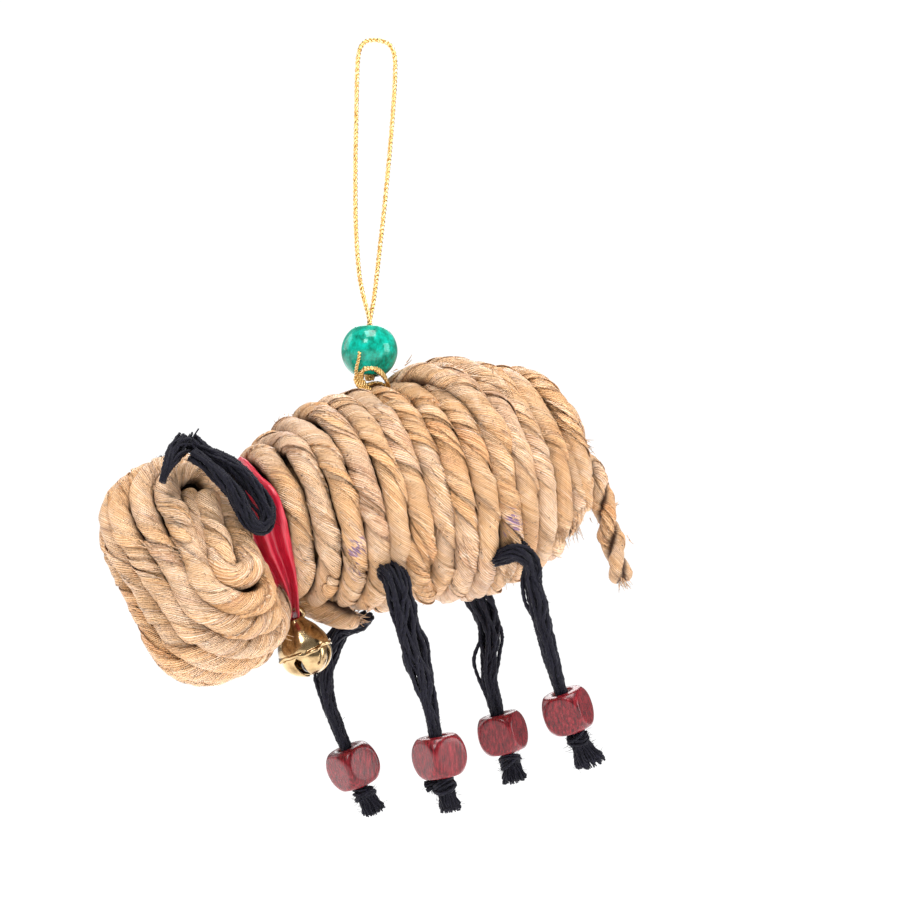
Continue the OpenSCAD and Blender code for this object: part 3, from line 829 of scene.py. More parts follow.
# ---------------------------------------------------------------- yarn
def yarn_threads(shell, path, reach, threads, thread_r, seed, flat=1.0, strays=0, side=None, fuzz=0):
    """A loose hank: threads that wander about a path inside a bundle of radius reach."""
    _, a, b = frames(path, side)
    s = lengths(path)
    rng = np.random.default_rng(seed)
    reach = np.broadcast_to(np.asarray(reach, float), s.shape)
    theta = np.arange(6) * TURN / 6
    for j in range(threads):
        ring = 0.30 if j < threads // 3 else 0.88
        angle = TURN * j * 1.618 + 0.05 * s + 0.9 * wander(s, 26, seed * 50 + j)
        out = reach * ring * (1 + 0.14 * wander(s, 11, seed * 50 + 20 + j)) - thread_r * ring
        if j >= threads - strays:
            middle = s[-1] * rng.uniform(0.25, 0.6)
            swell = np.exp(-((s - middle) / (s[-1] * 0.13)) ** 2)
            out = out + (0.6 + 0.7 * rng.uniform()) * swell
            angle = angle[0] * np.ones_like(s) + 0.5 * wander(s, 40, seed * 50 + 40 + j)
        out = np.maximum(out, 0)
        centre = path + (out * np.cos(angle))[:, None] * a + (out * flat * np.sin(angle))[:, None] * b
        ply = 1 + 0.14 * np.cos(2 * theta)[None] * np.ones_like(s)[:, None]
        ply *= 1 + 0.10 * wander(s, 4, seed * 50 + 60 + j)[:, None]
        shell.tube(centre, thread_r * ply, 6, TURN * s / 2.6 + j)
    hairs(shell, path, reach * np.minimum(1, flat), fuzz, rng)


def hairs(shell, path, reach, count, rng, length=0.9):
    """Fine lint standing off a yarn."""
    t = np.linspace(0, 1, 4)[:, None]
    for _ in range(count):
        i = int(rng.integers(1, len(path) - 1))
        along = unit(path[i + 1] - path[i - 1])
        out = unit(np.cross(along, rng.normal(0, 1, 3)))
        way = unit(out + along * rng.uniform(-1.6, 1.6))
        start = path[i] + out * reach[i] * 0.86
        bend = rng.normal(0, 0.25, 3)
        shell.tube(start + length * rng.uniform(0.3, 1) * (way * t + bend * t ** 2), 0.03, 3)


def bead_frame(route):
    """Place and direction of a leg's bead; the knot's frame is built on that direction."""
    p = np.asarray(route, float)
    return p[-2], unit(p[-1] - p[-3])


def yarn_leg(name, route, seed, wide, material):
    """wide: the hank's radius at the hip, midway and in the bead, its flatness and its stray threads."""
    path = smooth(HANKS[name] + route[1:], 0.5)
    s = lengths(path)
    bead, _ = bead_frame(route)
    bead_s = s[np.argmin(np.linalg.norm(path - bead, axis=1))]
    hip, middle, low, flat, strays = wide
    reach = np.interp(s, [0, 3, 6, bead_s * 0.5, bead_s - 8, bead_s - 4, s[-1]],
                      [hip * 0.7, hip, hip, middle, low * 1.15, low, low * 0.9])
    shell = Shell()
    yarn_threads(shell, path, reach, 28, 0.38, seed, flat, strays, FRONT_SIDE, fuzz=160)
    yarn = dress(shell.make(name + "_leg_yarn", material), None, "black_yarn", name + "_yarn")
    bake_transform(yarn)
    return yarn, path


def yarn_knot(name, route, look, seed, material):
    """The overhand knot below a bead; look: the tassel's spread, length and lean, and a stub's length."""
    fan, tassel, lean, stub = look
    bead, axis = bead_frame(route)
    m = axis_matrix(axis, FRONT_SIDE)
    rng = np.random.default_rng(seed)
    shell = Shell()
    top = CUBE_W / 2 + 0.2
    q = np.linspace(0, TURN * 1.7, 90)
    coil = np.stack([1.3 * np.cos(q), 1.1 * np.sin(q),
                     top + 1.1 + 1.1 * q / q[-1] + 0.45 * np.sin(q * 1.3 + seed)], axis=1)
    yarn_threads(shell, turned(coil, m, bead), 1.05, 16, 0.30, seed + 1, fuzz=120)
    base, knot_h = top + 1.4, 3.0
    for _ in range(190):
        q, ring = rng.uniform(0, TURN), math.sqrt(rng.uniform(0, 1))
        end = top + knot_h + tassel * rng.uniform(0.62, 1.06) * (1 - 0.12 * ring)
        t = np.linspace(0, 1, 8)[:, None]
        out = ring * (1.35 + (fan - 1.35) * t ** 1.3) + 0.10 * np.sin(5 * t + q)
        sway = lean * t ** 1.5 + 0.14 * np.sin(7 * t + 3 * q)
        local = np.hstack([out * math.cos(q) + sway, out * math.sin(q), base + (end - base) * t])
        shell.tube(turned(local, m, bead), rng.uniform(0.11, 0.19), 5)
    middle = np.hstack([lean * t, 0 * t, base + (top + knot_h + tassel * 0.8 - base) * t])
    hairs(shell, turned(middle, m, bead), np.linspace(1.4, fan, len(t)), 90, rng, 1.3)
    if stub:
        t = np.linspace(0, 1, 12)[:, None]
        local = np.hstack([-0.8 - stub * t, -0.5 - 0.4 * t, top + 0.9 + 0.5 * t])
        line = turned(local, m, bead)
        yarn_threads(shell, line, np.linspace(0.9, 1.25, 12), 22, 0.2, seed + 2, fuzz=70)
    return dress(shell.make(name + "_tassel", material), name + "_leg", "black_yarn", name + "_knot")


def make_legs(material):
    wide = {"front_left": (3.1, 2.6, 1.45, 0.6, 4), "front_right": (2.2, 2.1, 1.4, 0.7, 3),
            "hind_left": (2.2, 2.0, 1.4, 0.75, 2), "hind_right": (2.9, 2.1, 1.4, 0.6, 5)}
    looks = {"front_left": (1.9, 3.6, 0.6, 2.6), "front_right": (2.3, 3.2, 0.5, 0.0),
             "hind_left": (2.9, 4.6, 0.8, 0.0), "hind_right": (2.5, 3.0, 0.0, 0.0)}
    for seed, (name, route) in enumerate(LEG_ROUTES.items(), start=1):
        yarn, path = yarn_leg(name, route, seed * 10, wide[name], material)
        knot = yarn_knot(name, route, looks[name], seed * 10, material)


def make_ears(material):
    for side, seed in (("left", 61), ("right", 65)):
        ear_route, root_route = np.array(EAR_ROUTE, float), np.array(EAR_ROOT_ROUTE, float)
        if side == "right":
            for route in (ear_route, root_route):
                route[:, 1] = 2 * EAR_MIRROR_Y - route[:, 1]
                route += EAR_SHIFT
        path = smooth(ear_route, 0.45)
        shell = Shell()
        s = lengths(path)
        reach = np.interp(s / s[-1], [0, 0.2, 0.5, 0.8, 1], [1.7, 1.95, 1.8, 1.95, 1.6])
        yarn_threads(shell, path, reach, 30, 0.34, seed, side=(0, 1, 0), flat=0.85, strays=1, fuzz=160)
        name = "ear_" + side
        ear = dress(shell.make(name + "_yarn", material), name, "black_yarn", name)
        shell = Shell()
        root = smooth(root_route, 0.4)
        reach = np.interp(lengths(root), [0, 2.5, 6, 9], [2.3, 2.0, 1.4, 0.8])
        yarn_threads(shell, root, reach, 28, 0.32, seed + 1, fuzz=80)
        rng = np.random.default_rng(seed + 2)
        t = np.linspace(0, 1, 6)[:, None]
        for _ in range(60):
            way = unit(np.array([0.35, 0.1, 1.0]) + rng.normal(0, 0.16, 3))
            line = root[0] + [0.9, 0, -0.9] + rng.normal(0, 0.55, 3) + way * t * rng.uniform(1.2, 2.3)
            shell.tube(line, 0.15, 5)
        dress(shell.make(name + "_tied_end", material), "torso", "black_yarn", name + "_root")


def make_leg_ties(material):
    """The yarn that comes out between the turns and carries each leg."""
    for pair, seed in (("front", 81), ("hind", 85)):
        shell = Shell()
        hips = [np.array(LEG_ROUTES[pair + "_" + side][0], float) for side in ("left", "right")]
        run = unit(hips[1] - hips[0])
        for hip, inward, k in ((hips[0], run, 0), (hips[1], -run, 1)):
            out = unit(hip - BODY_MID - np.dot(hip - BODY_MID, U_AXIS) * U_AXIS)
            points = [hip - depth * out + shift * inward
                      for depth, shift in ((6, 1.5), (4.4, 0.9), (3.2, 0.4), (2.2, 0))]
            yarn_threads(shell, smooth(points, 0.5), 2.1, 18, 0.42, seed + k, flat=0.8)
        dress(shell.make(pair + "_leg_hank", material), "torso", "black_yarn", pair + "_leg_tie")


# ---------------------------------------------------------------- gold cord
THIN_R = 0.34
THIN_LAY = 1.2


def gold_tube(shell, path, radius=GOLD_R, lay=1.6):
    """Two plies of metallic thread twisted together."""
    s = lengths(path)
    _, a, b = frames(path)
    for ply in (0, math.pi):
        q = TURN * s / lay + ply
        centre = path + 0.5 * radius * (np.cos(q)[:, None] * a + np.sin(q)[:, None] * b)
        shell.tube(centre, 0.56 * radius, 7)


def make_loop(material):
    path = smooth(LOOP_ROUTE, 0.2)
    shell = Shell()
    gold_tube(shell, path)
    loop = dress(shell.make("gold_cord_loop", material), "hanger", "gold_cord", "hanging_loop")
    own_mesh(loop)


def make_gold_knot(material):
    """A small knot drawn up into the bead's bore."""
    q = np.linspace(0, TURN, 40)
    centre = np.array([BEAD_X, 0, GREEN_Z - GREEN_H / 2 - 0.25])
    r = 0.55 + 0.22 * np.cos(3 * q)
    path = centre + np.stack([r * np.cos(2 * q), r * np.sin(2 * q), 0.45 * np.sin(3 * q)], axis=1)
    shell = Shell()
    gold_tube(shell, resample(path, 0.15), THIN_R, THIN_LAY)
    dress(shell.make("gold_cord_knot", material), "cord_knot", "gold_cord", "gold_knot")


def make_gold_tie(material):
    """Turns of the cord round one strand, gathered at the bead's mouth, with a cut end."""
    shell = Shell()
    q = np.linspace(-0.30 * TURN, 4.45 * TURN, 420)
    r = STRAND_R + THIN_R + 0.28 + 0.10 * np.sin(1.7 * q)
    coil = np.stack([r * np.cos(q), -2.1 + 0.66 * q / TURN + 0.35 * np.sin(q), r * np.sin(q)], axis=1)
    gold_tube(shell, resample(TIE_POINT + coil, 0.16), THIN_R, THIN_LAY)
    axes = np.array([FRONT_SIDE, (FRONT_SIDE[1], -FRONT_SIDE[0], 0), (0, 0, 1.0)])
    drops = [[[-0.4, 0.3, 4.9], [-2.0, 1.6, 4.4], [-3.1 + 0.15 * k, 2.5, 4.0],
              [-3.4 + 0.34 * k, 3.0, 3.2], [-2.9 + 0.42 * k, 3.3 - 0.1 * k, 2.0],
              [-2.2 + 0.5 * k, 3.2, 1.0], [-1.7 + 0.5 * k, 2.6, 0.0], [-1.4 + 0.5 * k, 1.6, -0.8]]
             for k in range(5)]
    overs = [[[-3.0 + 0.3 * k, 2.4, 3.4], [-2.7 + 0.2 * k, 3.2, 4.3], [-1.6, 4.0, 4.9 + 0.2 * k],
              [-0.2, 4.1, 5.1 + 0.24 * k], [1.1, 3.5, 4.4 + 0.22 * k], [2.1, 2.6, 3.4 + 0.2 * k],
              [2.8, 1.4, 2.3], [3.0, 0.2, 1.2]] for k in range(4)]
    stub = [[-2.4, 3.0, 2.6], [-3.2, 3.4, 4.0], [-3.1, 4.2, 5.4], [-2.7, 4.9, 6.8], [-2.5, 5.2, 8.2]]
    for route in drops + overs + [stub]:
        gold_tube(shell, smooth(TIE_POINT + np.array(route) @ axes, 0.16), THIN_R, THIN_LAY)
    dress(shell.make("gold_cord_wraps", material), "torso", "gold_cord", "gold_tie")


# ---------------------------------------------------------------- beads
def make_green_bead(material):
    """A turned barrel bead with a rounded bore mouth."""
    bore, half, corner, sides = 1.6, GREEN_H / 2, 0.5, 72
    q = np.linspace(-1, 1, 41)
    outer_start = math.asin((half - 0.15) / GREEN_R)
    outline = [(GREEN_R * math.cos(outer_start * k), GREEN_R * math.sin(outer_start * k)) for k in q]
    lip = [(bore + corner * (1 - math.sin(a)), half - corner + corner * math.cos(a))
           for a in np.linspace(0, math.pi / 2, 6)]
    profile = outline + lip + [(bore, half * k) for k in np.linspace(0.8, -0.8, 9)]
    profile += [(r, -z) for r, z in reversed(lip)] + outline[:1]
    s = lengths(np.array([(r, 0, z) for r, z in profile]))
    # painted shade: a mask that is 1 inside the bore and fades out across its rounded mouth
    rim = np.array([np.clip(1.6 - (r - bore) / corner, 0, 1) for r, _ in profile])
    shell = Shell()
    shell.grid(turned(lathe(profile, sides), np.eye(3), (BEAD_X, 0, GREEN_Z)),
               np.arange(sides + 1) / sides * TURN * GREEN_R, s, caps=False,
               values={"rim": np.repeat(rim[:, None], sides, axis=1)})
    bead = dress(shell.make("green_round_bead", material), "green_bead", "green_wood", "green_bead")
    tidy_normals(bead)


def cube_bead(name, route, heading, material):
    """A cube bead tumbled until its corners are round and its faces stay as flat discs."""
    bead, axis = bead_frame(route)
    half, ball, blend = CUBE_W / 2, 5.18, 34
    n = 26
    line = np.tan(np.linspace(-math.pi / 4, math.pi / 4, n))
    faces_points, quads = [], []
    for k, sign in ((0, 1), (0, -1), (1, 1), (1, -1), (2, 1), (2, -1)):
        a, b = np.meshgrid(line, line)
        p = np.zeros((n, n, 3))
        p[..., k] = sign
        p[..., (k + 1) % 3] = a * sign
        p[..., (k + 2) % 3] = b
        base = sum(len(f) for f in faces_points)
        index = base + np.arange(n * n).reshape(n, n)
        quads.append(np.stack([index[:-1, :-1], index[:-1, 1:], index[1:, 1:], index[1:, :-1]],
                              axis=-1).reshape(-1, 4))
        faces_points.append(p.reshape(-1, 3))
    p = unit(np.concatenate(faces_points))
    to_cube = half / np.abs(p).max(axis=1)
    r = (to_cube ** -blend + ball ** -blend) ** (-1 / blend)
    m = axis_matrix(axis, (math.cos(heading), math.sin(heading), 0))
    obj = mesh_object(name + "_cube", p * r[:, None], [np.concatenate(quads)])
    tidy_normals(obj, 1e-6)
    drill = Shell()
    bore, mouth = 1.5, 2.3
    profile = [(mouth, -6), (mouth, -half - 0.02), (bore, -half + 0.5), (bore, half - 0.5),
               (mouth, half + 0.02), (mouth, 6)]
    drill.grid(lathe(profile, 40), np.arange(41), np.arange(6))
    cutter = drill.make(name + "_drill")
    tidy_normals(cutter)
    cut = obj.modifiers.new("bore", "BOOLEAN")
    cut.operation = "DIFFERENCE"
    cut.solver = "EXACT"
    cut.object = cutter
    bpy.context.view_layer.update()
    result = bpy.data.meshes.new_from_object(obj.evaluated_get(bpy.context.evaluated_depsgraph_get()))
    obj.modifiers.clear()
    obj.data = result
    bpy.data.objects.remove(cutter)
    obj.data.materials.clear()
    obj.data.materials.append(material)
    co = np.zeros(len(result.vertices) * 3, np.float32)
    result.vertices.foreach_get("co", co)
    co = turned(co.reshape(-1, 3).astype(float), m, bead * MM)
    result.vertices.foreach_set("co", co.astype(np.float32).ravel())
    result.shade_smooth()
    result.update()
    dress(obj, name + "_bead", "red_wood", name + "_bead")


def make_cube_beads(material):
    headings = {"front_left": -76, "front_right": -74, "hind_left": -42, "hind_right": -46}
    for name, route in LEG_ROUTES.items():
        cube_bead(name, route, math.radians(headings[name]), material)


# ---------------------------------------------------------------- bell
def bell_matrix():
    """Local Z points from the pivot to the bell's mouth."""
    down = np.array([math.sin(BELL_TILT), 0, -math.cos(BELL_TILT)])
    return axis_matrix(down, (0, 1, 0)), BELL_PIVOT + BELL_DROP * down


def bell_rows(rows, m, centre, sides, wave):
    """Turns a profile about the bell's axis, with a crimped wave where the third value says."""
    q = np.arange(sides) * TURN / sides
    p = np.asarray(rows, float)
    crimp = wave * p[:, 2:]
    r = p[:, :1] + crimp * np.cos(8 * q)[None]
    z = p[:, 1:2] + 1.6 * crimp * np.sin(4 * q + 0.6)[None] + 0.6 * crimp * np.sin(11 * q)[None]
    return turned(np.stack([r * np.cos(q), r * np.sin(q), z], axis=-1), m, centre)


def make_bell(brass, steel):
    m, centre = bell_matrix()
    wall, sides = 0.35, 96
    inner = BELL_R - wall
    arc = np.linspace(1.0, math.pi / 2 - 0.04, 10)
    neck = [(1.5, -6.35, 0), (1.95, -6.3, 0), (2.05, -6.0, 0), (2.3, -5.5, 0), (2.7, -5.0, 0),
            (3.2, -4.4, 0), (3.7, -3.75, 0)]
    dome = neck + [(BELL_R * math.sin(a), -BELL_R * math.cos(a), 0) for a in arc]
    dome += [(5.08, -0.3, 0.5), (5.28, -0.1, 1), (5.34, 0.12, 1), (5.26, 0.35, 1), (5.02, 0.42, 0.6),
             (inner, 0.2, 0)]
    dome += [(inner * math.sin(a), -inner * math.cos(a), 0) for a in arc[::-1]]
    dome += [(r - wall, z + 0.1, 0) for r, z, _ in neck[:2:-1]] + [(1.5, -5.9, 0), (1.5, -6.35, 0)]
    shell = Shell()
    p = np.array(dome)
    shell.grid(bell_rows(dome, m, centre, sides, 0.2), np.arange(sides + 1) / sides * 31,
               lengths(np.c_[p[:, :2], 0 * p[:, 0]]), caps=False)
    tidy_normals(dress(shell.make("bell_upper_shell", brass), "bell", "bell_brass", "bell_dome"))

    claws = Shell()
    slot, tip = 0.95, 1.42
    for k in range(4):
        middle = TURN * (k + 0.5) / 4 + math.radians(45)
        rows = []
        for a in np.linspace(0.0, tip, 20):
            squash = 1 - 0.04 * math.sin(a)
            r, z = BELL_R * math.cos(a) ** 0.92 if a < 1.5 else 0.2, 0.12 + BELL_R * math.sin(a) * squash
            room = (slot - 0.35 * a / tip) * min(1, max(0, (a - 0.07) / 0.16))
            wide = math.pi / 4 - math.asin(min(0.98, room / max(r, 0.75)))
            q = middle + np.linspace(-wide, wide, 19)
            dent = 1 + 0.045 * math.sin(2 * a) * np.cos((q - middle) * 4) - 0.05 * math.exp(-(a / 0.2) ** 2)
            rows.append(np.stack([r * dent * np.cos(q), r * dent * np.sin(q), z * np.ones_like(q)], axis=1))
        rows = np.array(rows)
        loop = np.concatenate([rows, (rows - wall * unit(rows))[:, ::-1]], axis=1)
        claws.grid(turned(loop, m, centre), np.arange(39) * 0.4, np.linspace(0, 8, 20))
    tidy_normals(dress(claws.make("bell_lower_claws", brass), "bell", "bell_brass", "bell_claws"))

    wire = Shell()
    q = np.linspace(-0.44, 0.44, 60) * TURN + math.pi
    ring = np.stack([2.15 * np.sin(q), 0 * q, -BELL_DROP + 0.25 + 1.35 * np.cos(q)], axis=1)
    flat_band = 0.42 + 0.45 * np.abs(np.cos(np.arange(14) * TURN / 14))
    band = np.repeat(flat_band[None], len(q), axis=0)
    wire.tube(turned(ring, bell_hole(m), centre), band, 14, side=m[:, 0])
    dress(wire.make("bell_wire_ring", brass), "bell", "bell_brass", "bell_loop")
    paint_node("bell_pellet", steel)


def bell_hole(m):
    """The bell's frame with its Y along the ring's hole."""
    hole = np.array([0, 1.0, 0])
    return np.stack([np.cross(hole, m[:, 2]), hole, m[:, 2]], axis=1)


# ---------------------------------------------------------------- ribbon
RIBBON_W = 11
RIBBON_HALF_THICK = 0.07
PLEATS = 2.5
# below this height the hidden half mirrors about the bell's ring, above it about the body's middle
RING_SIDE_BELOW = -104
# round the neck: degrees, place along the body's axis, distance from the axis, gathered width
NECK_STATIONS = [(90, -35.6, 12.0, 7.4), (115, -35.9, 12.1, 7.4), (140, -36.0, 12.2, 7.4)]
# down to the bell: x, y, z, gathered width
FALL_STATIONS = [
    (-27.6, -12.5, -90.4, 8.8), (-26.2, -12.9, -94.9, 8.9), (-24.2, -11.8, -99.1, 7.8),
    (-22.6, -10.4, -101.6, 6.6), (-20.9, -8.4, -104.0, 5.2), (-19.2, -6.0, -106.2, 4.0),
    (-17.9, -3.6, -108.2, 3.5), (-17.1, -2.0, -109.7, 3.3)]


def pleat_depth(width):
    """How deep the folds are where the ribbon is gathered to this width."""
    depths = np.linspace(0, 2.2, 60)
    t = np.linspace(0, 1, 80)
    spans = [np.hypot(np.diff(t)[None] * width[:, None],
                      np.diff(depth * np.sin(TURN * PLEATS * t))[None]).sum(axis=1) for depth in depths]
    spans = np.array(spans)
    return np.array([np.interp(RIBBON_W, spans[:, k], depths) for k in range(len(width))])


def make_ribbon(material):
    """One satin strip: round the neck, both ends gathered through the bell's ring."""
    half = []
    for angle, s_mid, r, width in NECK_STATIONS:
        q = math.radians(angle)
        half.append((body_point(s_mid, r * math.cos(q), r * math.sin(q)), width,
                     math.cos(q) * V_AXIS + math.sin(q) * W_AXIS))
    for x, y, z, width in FALL_STATIONS:
        half.append((np.array([x, y, z]), width, unit(np.array([-0.25, -1.0, -0.12]))))
    half.append((BELL_PIVOT + [0, 0, -0.5], 3.0, np.array([0, 0, -1.0])))
    mirror = []
    for p, w, n in reversed(half[1:-1]):
        on_bell = p[2] < RING_SIDE_BELOW
        mirror.append((p * np.array([1, -1, 1]) + np.array([0, 2 * BELL_PIVOT[1], 0]) * on_bell, w,
                       n * np.array([1, -1, 1])))
    route = half + mirror
    centres = np.array([p for p, _, _ in route] + [route[0][0]])
    path = smooth(centres, 0.5)
    s_in = lengths(centres)
    s_in = s_in / s_in[-1]
    s = lengths(path)
    f = s / s[-1]
    width = np.interp(f, s_in, [w for _, w, _ in route] + [route[0][1]])
    normal = unit(np.stack([np.interp(f, s_in, [n[k] for _, _, n in route] + [route[0][2][k]])
                            for k in range(3)], axis=1))
    tangent = unit(np.gradient(path, axis=0))
    across = unit(np.cross(tangent, normal))
    normal = np.cross(across, tangent)
    flip = np.sign(across @ U_AXIS)[:, None]
    across = across * np.where(flip == 0, 1, flip)
    normal = np.cross(across, tangent) * np.sign(np.sum(np.cross(across, tangent) * normal, axis=1))[:, None]
    columns = 49
    t = np.linspace(-0.5, 0.5, columns)
    tight = 1 - width / width.max()
    phase = 0.16 * wander(s, 34, 91)[:, None]
    pleat = pleat_depth(width)[:, None] * np.sin(TURN * (PLEATS * (t[None] + 0.5) + phase))
    cone = -0.22 * (0.5 - t)[None] * width[:, None] * (1 - tight)[:, None]
    crinkle = 0.07 * np.sin(4.1 * s[:, None] + 5 * t[None]) * np.sin(2.3 * s[:, None] - 9 * t[None])
    rows = path[:, None] + (t[None] * width[:, None])[..., None] * across[:, None]
    rows = rows + (pleat + cone + crinkle + 0.15 * wander(s, 18, 92)[:, None])[..., None] * normal[:, None]
    inset = RIBBON_HALF_THICK * normal[:, None]
    skin = np.concatenate([rows + inset, (rows - inset)[:, ::-1]], axis=1)
    shell = Shell()
    round_u = np.concatenate([t + 0.5, (t + 0.5)[::-1], [0]]) * RIBBON_W
    shell.grid(skin[:-1], round_u, s[:-1], caps=False)
    n = len(skin) - 1
    index = np.arange(n * skin.shape[1]).reshape(n, -1)
    last = np.concatenate([index[-1], index[-1, :1]])
    first = np.concatenate([index[0], index[0, :1]])
    shell.quads.append(np.stack([last[:-1], last[1:], first[1:], first[:-1]], axis=-1))
    corners = ((round_u[:-1], s[-2]), (round_u[1:], s[-2]), (round_u[1:], s[-1]), (round_u[:-1], s[-1]))
    ends = np.stack([np.stack([u, np.full_like(u, v)], axis=1) for u, v in corners], axis=1)
    shell.quad_uv.append(ends.reshape(-1, 2))
    ribbon = shell.make("neck_ribbon_satin", material)
    tidy_normals(ribbon)
    dress(ribbon, "torso", "red_satin", "neck_ribbon", "ribbon_gather")


# ---------------------------------------------------------------- straw pieces
# strands laid over the body's winding: girth, then (turns, degrees, height) as over_strand takes them
OVERLAYS = [
    (0.96, [(6.5, 62, -3.9), (7.1, 78, -2.9), (7.4, 94, -1.8), (7.75, 110, 0.0), (8.3, 127, 0.4),
            (9.0, 144, 0.0), (9.5, 160, -1.0), (9.8, 174, -3.6)]),
    (0.85, [(8.2, 66, -3.6), (8.8, 82, -1.6), (9.3, 98, -0.8), (10.0, 114, -0.4), (10.6, 130, -1.0),
            (11.0, 146, -3.4)]),
    (0.9, [(12.4, 70, -3.0), (12.7, 100, -0.4), (13.1, 130, 0.4), (13.4, 160, 0.3), (13.6, 190, -0.2),
           (13.7, 220, -0.9), (13.6, 240, -3.2)]),
    (0.8, [(4.6, 205, -3.2), (4.9, 222, -0.5), (5.4, 238, 0.1), (6.0, 254, -0.3), (6.4, 270, -3.0)])]
# frayed places: turns, degrees and the way the fibres lean
BODY_FRAYS = [
    (13.2, 232, (0.3, 0, -1)), (13.6, 218, (0.1, 0, -1)), (12.2, 226, (0.2, 0, -1)),
    (9.2, 236, (0.2, 0, -1)), (6.2, 200, (-0.4, 0, -1)), (14.1, 170, (0.6, 0, -0.6)),
    (2.2, 210, (0, 0, -1))]
# frayed places on the head's near side, in the head's own axes
HEAD_FRAYS = [(-9.5, 1.0, 8.5), (-8.0, -2.5, 9.0), (-6.4, -6.0, 8.6), (-3.5, -9.5, 7.0), (4.5, -15.5, 4.0),
              (-11.5, 3.5, 6.0)]


def make_body_straw(material):
    shell = Shell()
    path, outward = body_winding()
    strand = Strand(path, outward, STRAND_R * 1.05, seed=101)
    strand.skin(shell)
    strand.flakes(shell, 270)
    strand.fibres(shell, 16, 5, 1.9)
    for k, (girth, places) in enumerate(OVERLAYS):
        path, outward = over_strand(places)
        extra = Strand(path, outward, STRAND_R * girth, seed=140 + 20 * k)
        extra.skin(shell, tuck=(2, 2))
        extra.flakes(shell, 7)
        extra.fibres(shell, 2, 5, 2.4)
    rng = np.random.default_rng(5)
    for turns, degrees, lean in BODY_FRAYS:
        places, outs = over_strand([(turns, degrees + shift, -0.3) for shift in (-4, 0, 4)])
        fray(shell, places[len(places) // 2], unit(np.array(lean, float)), outs[0], 14, 3.4, rng, 0.4)
    dress(shell.make("body_straw_winding", material), "torso", "straw", "body_wrap", "rump_coil")


def make_head_straw(material):
    shell = Shell()
    path, outward = head_winding()
    strand = Strand(path, outward, STRAND_R * 1.06, seed=201)
    strand.skin(shell, tuck=(1.0, 1.6))
    strand.flakes(shell, 150)
    gap = smooth([[-0.4, 11.0, 9.2], [-0.9, 9.0, 11.0], [-1.7, 6.4, 11.7], [-2.8, 1.6, 11.7],
                  [-3.7, -2.6, 10.8], [-4.2, -5.0, 9.0]], 0.4)
    near_side = HEAD_AXES[:, 2]
    outward = np.tile(near_side, (len(gap), 1))
    filler = Strand(turned(gap, HEAD_AXES, HEAD_MID), outward, 1.6, seed=251)
    filler.skin(shell, 24, tuck=(2, 2))
    strand.fibres(shell, 8, 5, 1.9)
    rng = np.random.default_rng(6)
    lean = HEAD_AXES @ np.array([0.62, -0.78, 0.05])
    for place in HEAD_FRAYS:
        root = turned(place, HEAD_AXES, HEAD_MID)
        fray(shell, root + 1.2 * near_side, lean, near_side, 22, 6.5, rng, 0.3)
    dress(shell.make("head_straw_winding", material), "torso", "straw", "head_wrap")


def make_straw(material):
    make_body_straw(material)
    make_head_straw(material)
    shell = Shell()
    points = [[-16.5, 3.0, -105.1], [-13.0, 1.8, -107.2], [-9.6, 1.0, -108.7], [-7.2, 0.3, -109.8],
              [-5.0, -0.6, -110.5], [-3.6, -1.4, -110.0]]
    path = smooth(points, 0.45)
    strand = Strand(path, np.tile([0.1, -0.3, -1.0], (len(path), 1)), STRAND_R * 0.98, seed=301)
    strand.skin(shell, tuck=(1.0, 1.2))
    strand.flakes(shell, 5)
    fray(shell, path[-3], unit([1, -0.2, 0.1]), np.array([0, -0.4, -0.9]), 26, 2.6, strand.rng, 0.6)
    dress(shell.make("tucked_strand_end", material), "torso", "straw", "wrap_end")

    shell = Shell()
    path = smooth(TAIL_ROUTE, 0.4)
    _, a, b = frames(path)
    s = lengths(path)
    for ply in (0, math.pi):
        q = TURN * s / 15 + ply
        out = np.cos(q)[:, None] * a + np.sin(q)[:, None] * b
        strand = Strand(path + 1.05 * out, out, 1.38, lay=9, seed=401 + 9 * int(ply))
        strand.skin(shell, 22, tuck=(0.8, 1.4))
        strand.flakes(shell, 5)
        strand.fibres(shell, 4, 5, 2.5)
    fray(shell, path[3], unit([0.8, -0.3, 0.6]), np.array([0.3, -0.9, 0.1]), 24, 3.4, strand.rng, 0.7)
    fray(shell, path[-4], unit([0.25, -0.2, -1]), np.array([0.5, -0.8, 0]), 24, 3.0, strand.rng, 0.4)
    dress(shell.make("tail_straw_twist", material), "tail", "straw", "tail")


def cover_inner_straw(material):
    for name in ("body_core", "neck_core", "head_core"):
        paint_node(name, material)


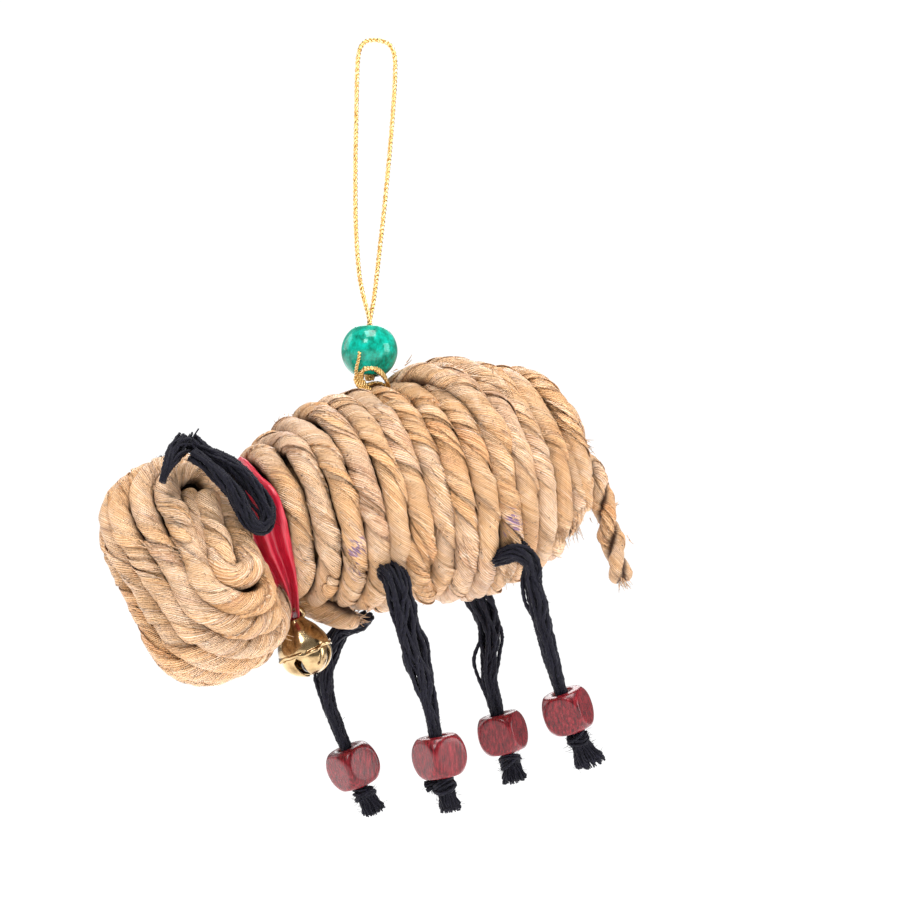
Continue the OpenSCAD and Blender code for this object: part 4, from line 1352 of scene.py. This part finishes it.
# ---------------------------------------------------------------- stage and light
def make_stage():
    reach, below = 60000, -185
    corners = [[x * reach, y * reach, below] for x, y in ((-1, -1), (1, -1), (1, 1), (-1, 1))]
    floor = mesh_object("floor", corners, [np.array([[0, 1, 2, 3]])], flat=True)
    n = Nodes("floor")
    grain = n.noise(n.place(), (3, 3, 3), 2, 0.5)
    n.shader.inputs["Emission Color"].default_value = (1, 1, 1, 1)
    n.shader.inputs["Emission Strength"].default_value = 0.78
    colour = n.ramp(grain, [(0.0, (241, 241, 241)), (1.0, (247, 247, 247))])
    floor.data.materials.append(n.surface(base_color=colour, roughness=0.9))


# name, place in metres, size in metres, watts
LAMPS = [("key", (-0.50, -0.62, 0.52), 0.26, 4.0), ("fill", (0.67, -0.46, 0.08), 0.42, 4.1),
         ("top", (-0.05, -0.25, 0.75), 0.5, 11.0), ("rim", (0.35, 0.8, 0.5), 0.5, 4.0),
         ("back", (-0.6, 0.6, 0.3), 0.6, 3.0)]


def make_light():
    """Soft lamps, a dim white surround that lights the piece and a brighter one for the camera."""
    world = bpy.data.worlds.new("studio")
    bpy.context.scene.world = world
    world.use_nodes = True
    tree = world.node_tree
    background = tree.nodes["Background"]
    background.inputs[0].default_value = (1.0, 1.0, 1.0, 1)
    background.inputs[1].default_value = 0.36
    white = tree.nodes.new("ShaderNodeBackground")
    white.inputs[0].default_value = (1.0, 1.0, 1.0, 1)
    white.inputs[1].default_value = 1.05
    mix = tree.nodes.new("ShaderNodeMixShader")
    path = tree.nodes.new("ShaderNodeLightPath")
    tree.links.new(path.outputs["Is Camera Ray"], mix.inputs[0])
    tree.links.new(background.outputs[0], mix.inputs[1])
    tree.links.new(white.outputs[0], mix.inputs[2])
    tree.links.new(mix.outputs[0], tree.nodes["World Output"].inputs[0])
    for name, place, size, power in LAMPS:
        data = bpy.data.lights.new(name, "AREA")
        data.size = size
        data.energy = power
        light = bpy.data.objects.new(name, data)
        light.location = place
        aim = Vector((0, 0, -0.09)) - Vector(place)
        light.rotation_euler = aim.to_track_quat("-Z", "Y").to_euler()
        bpy.context.collection.objects.link(light)
    bpy.context.scene.view_settings.view_transform = "Standard"


# ---------------------------------------------------------------- build
make_camera()
YARN = yarn_material()
GOLD = gold_thread_material()
make_loop(GOLD)
make_legs(YARN)
make_ears(YARN)
make_leg_ties(YARN)
make_gold_knot(GOLD)
make_gold_tie(GOLD)
make_straw(straw_material())
cover_inner_straw(core_material())
make_ribbon(satin_material())
make_green_bead(green_wood_material())
make_cube_beads(red_wood_material())
make_bell(brass_material(), steel_material())
make_stage()
make_light()
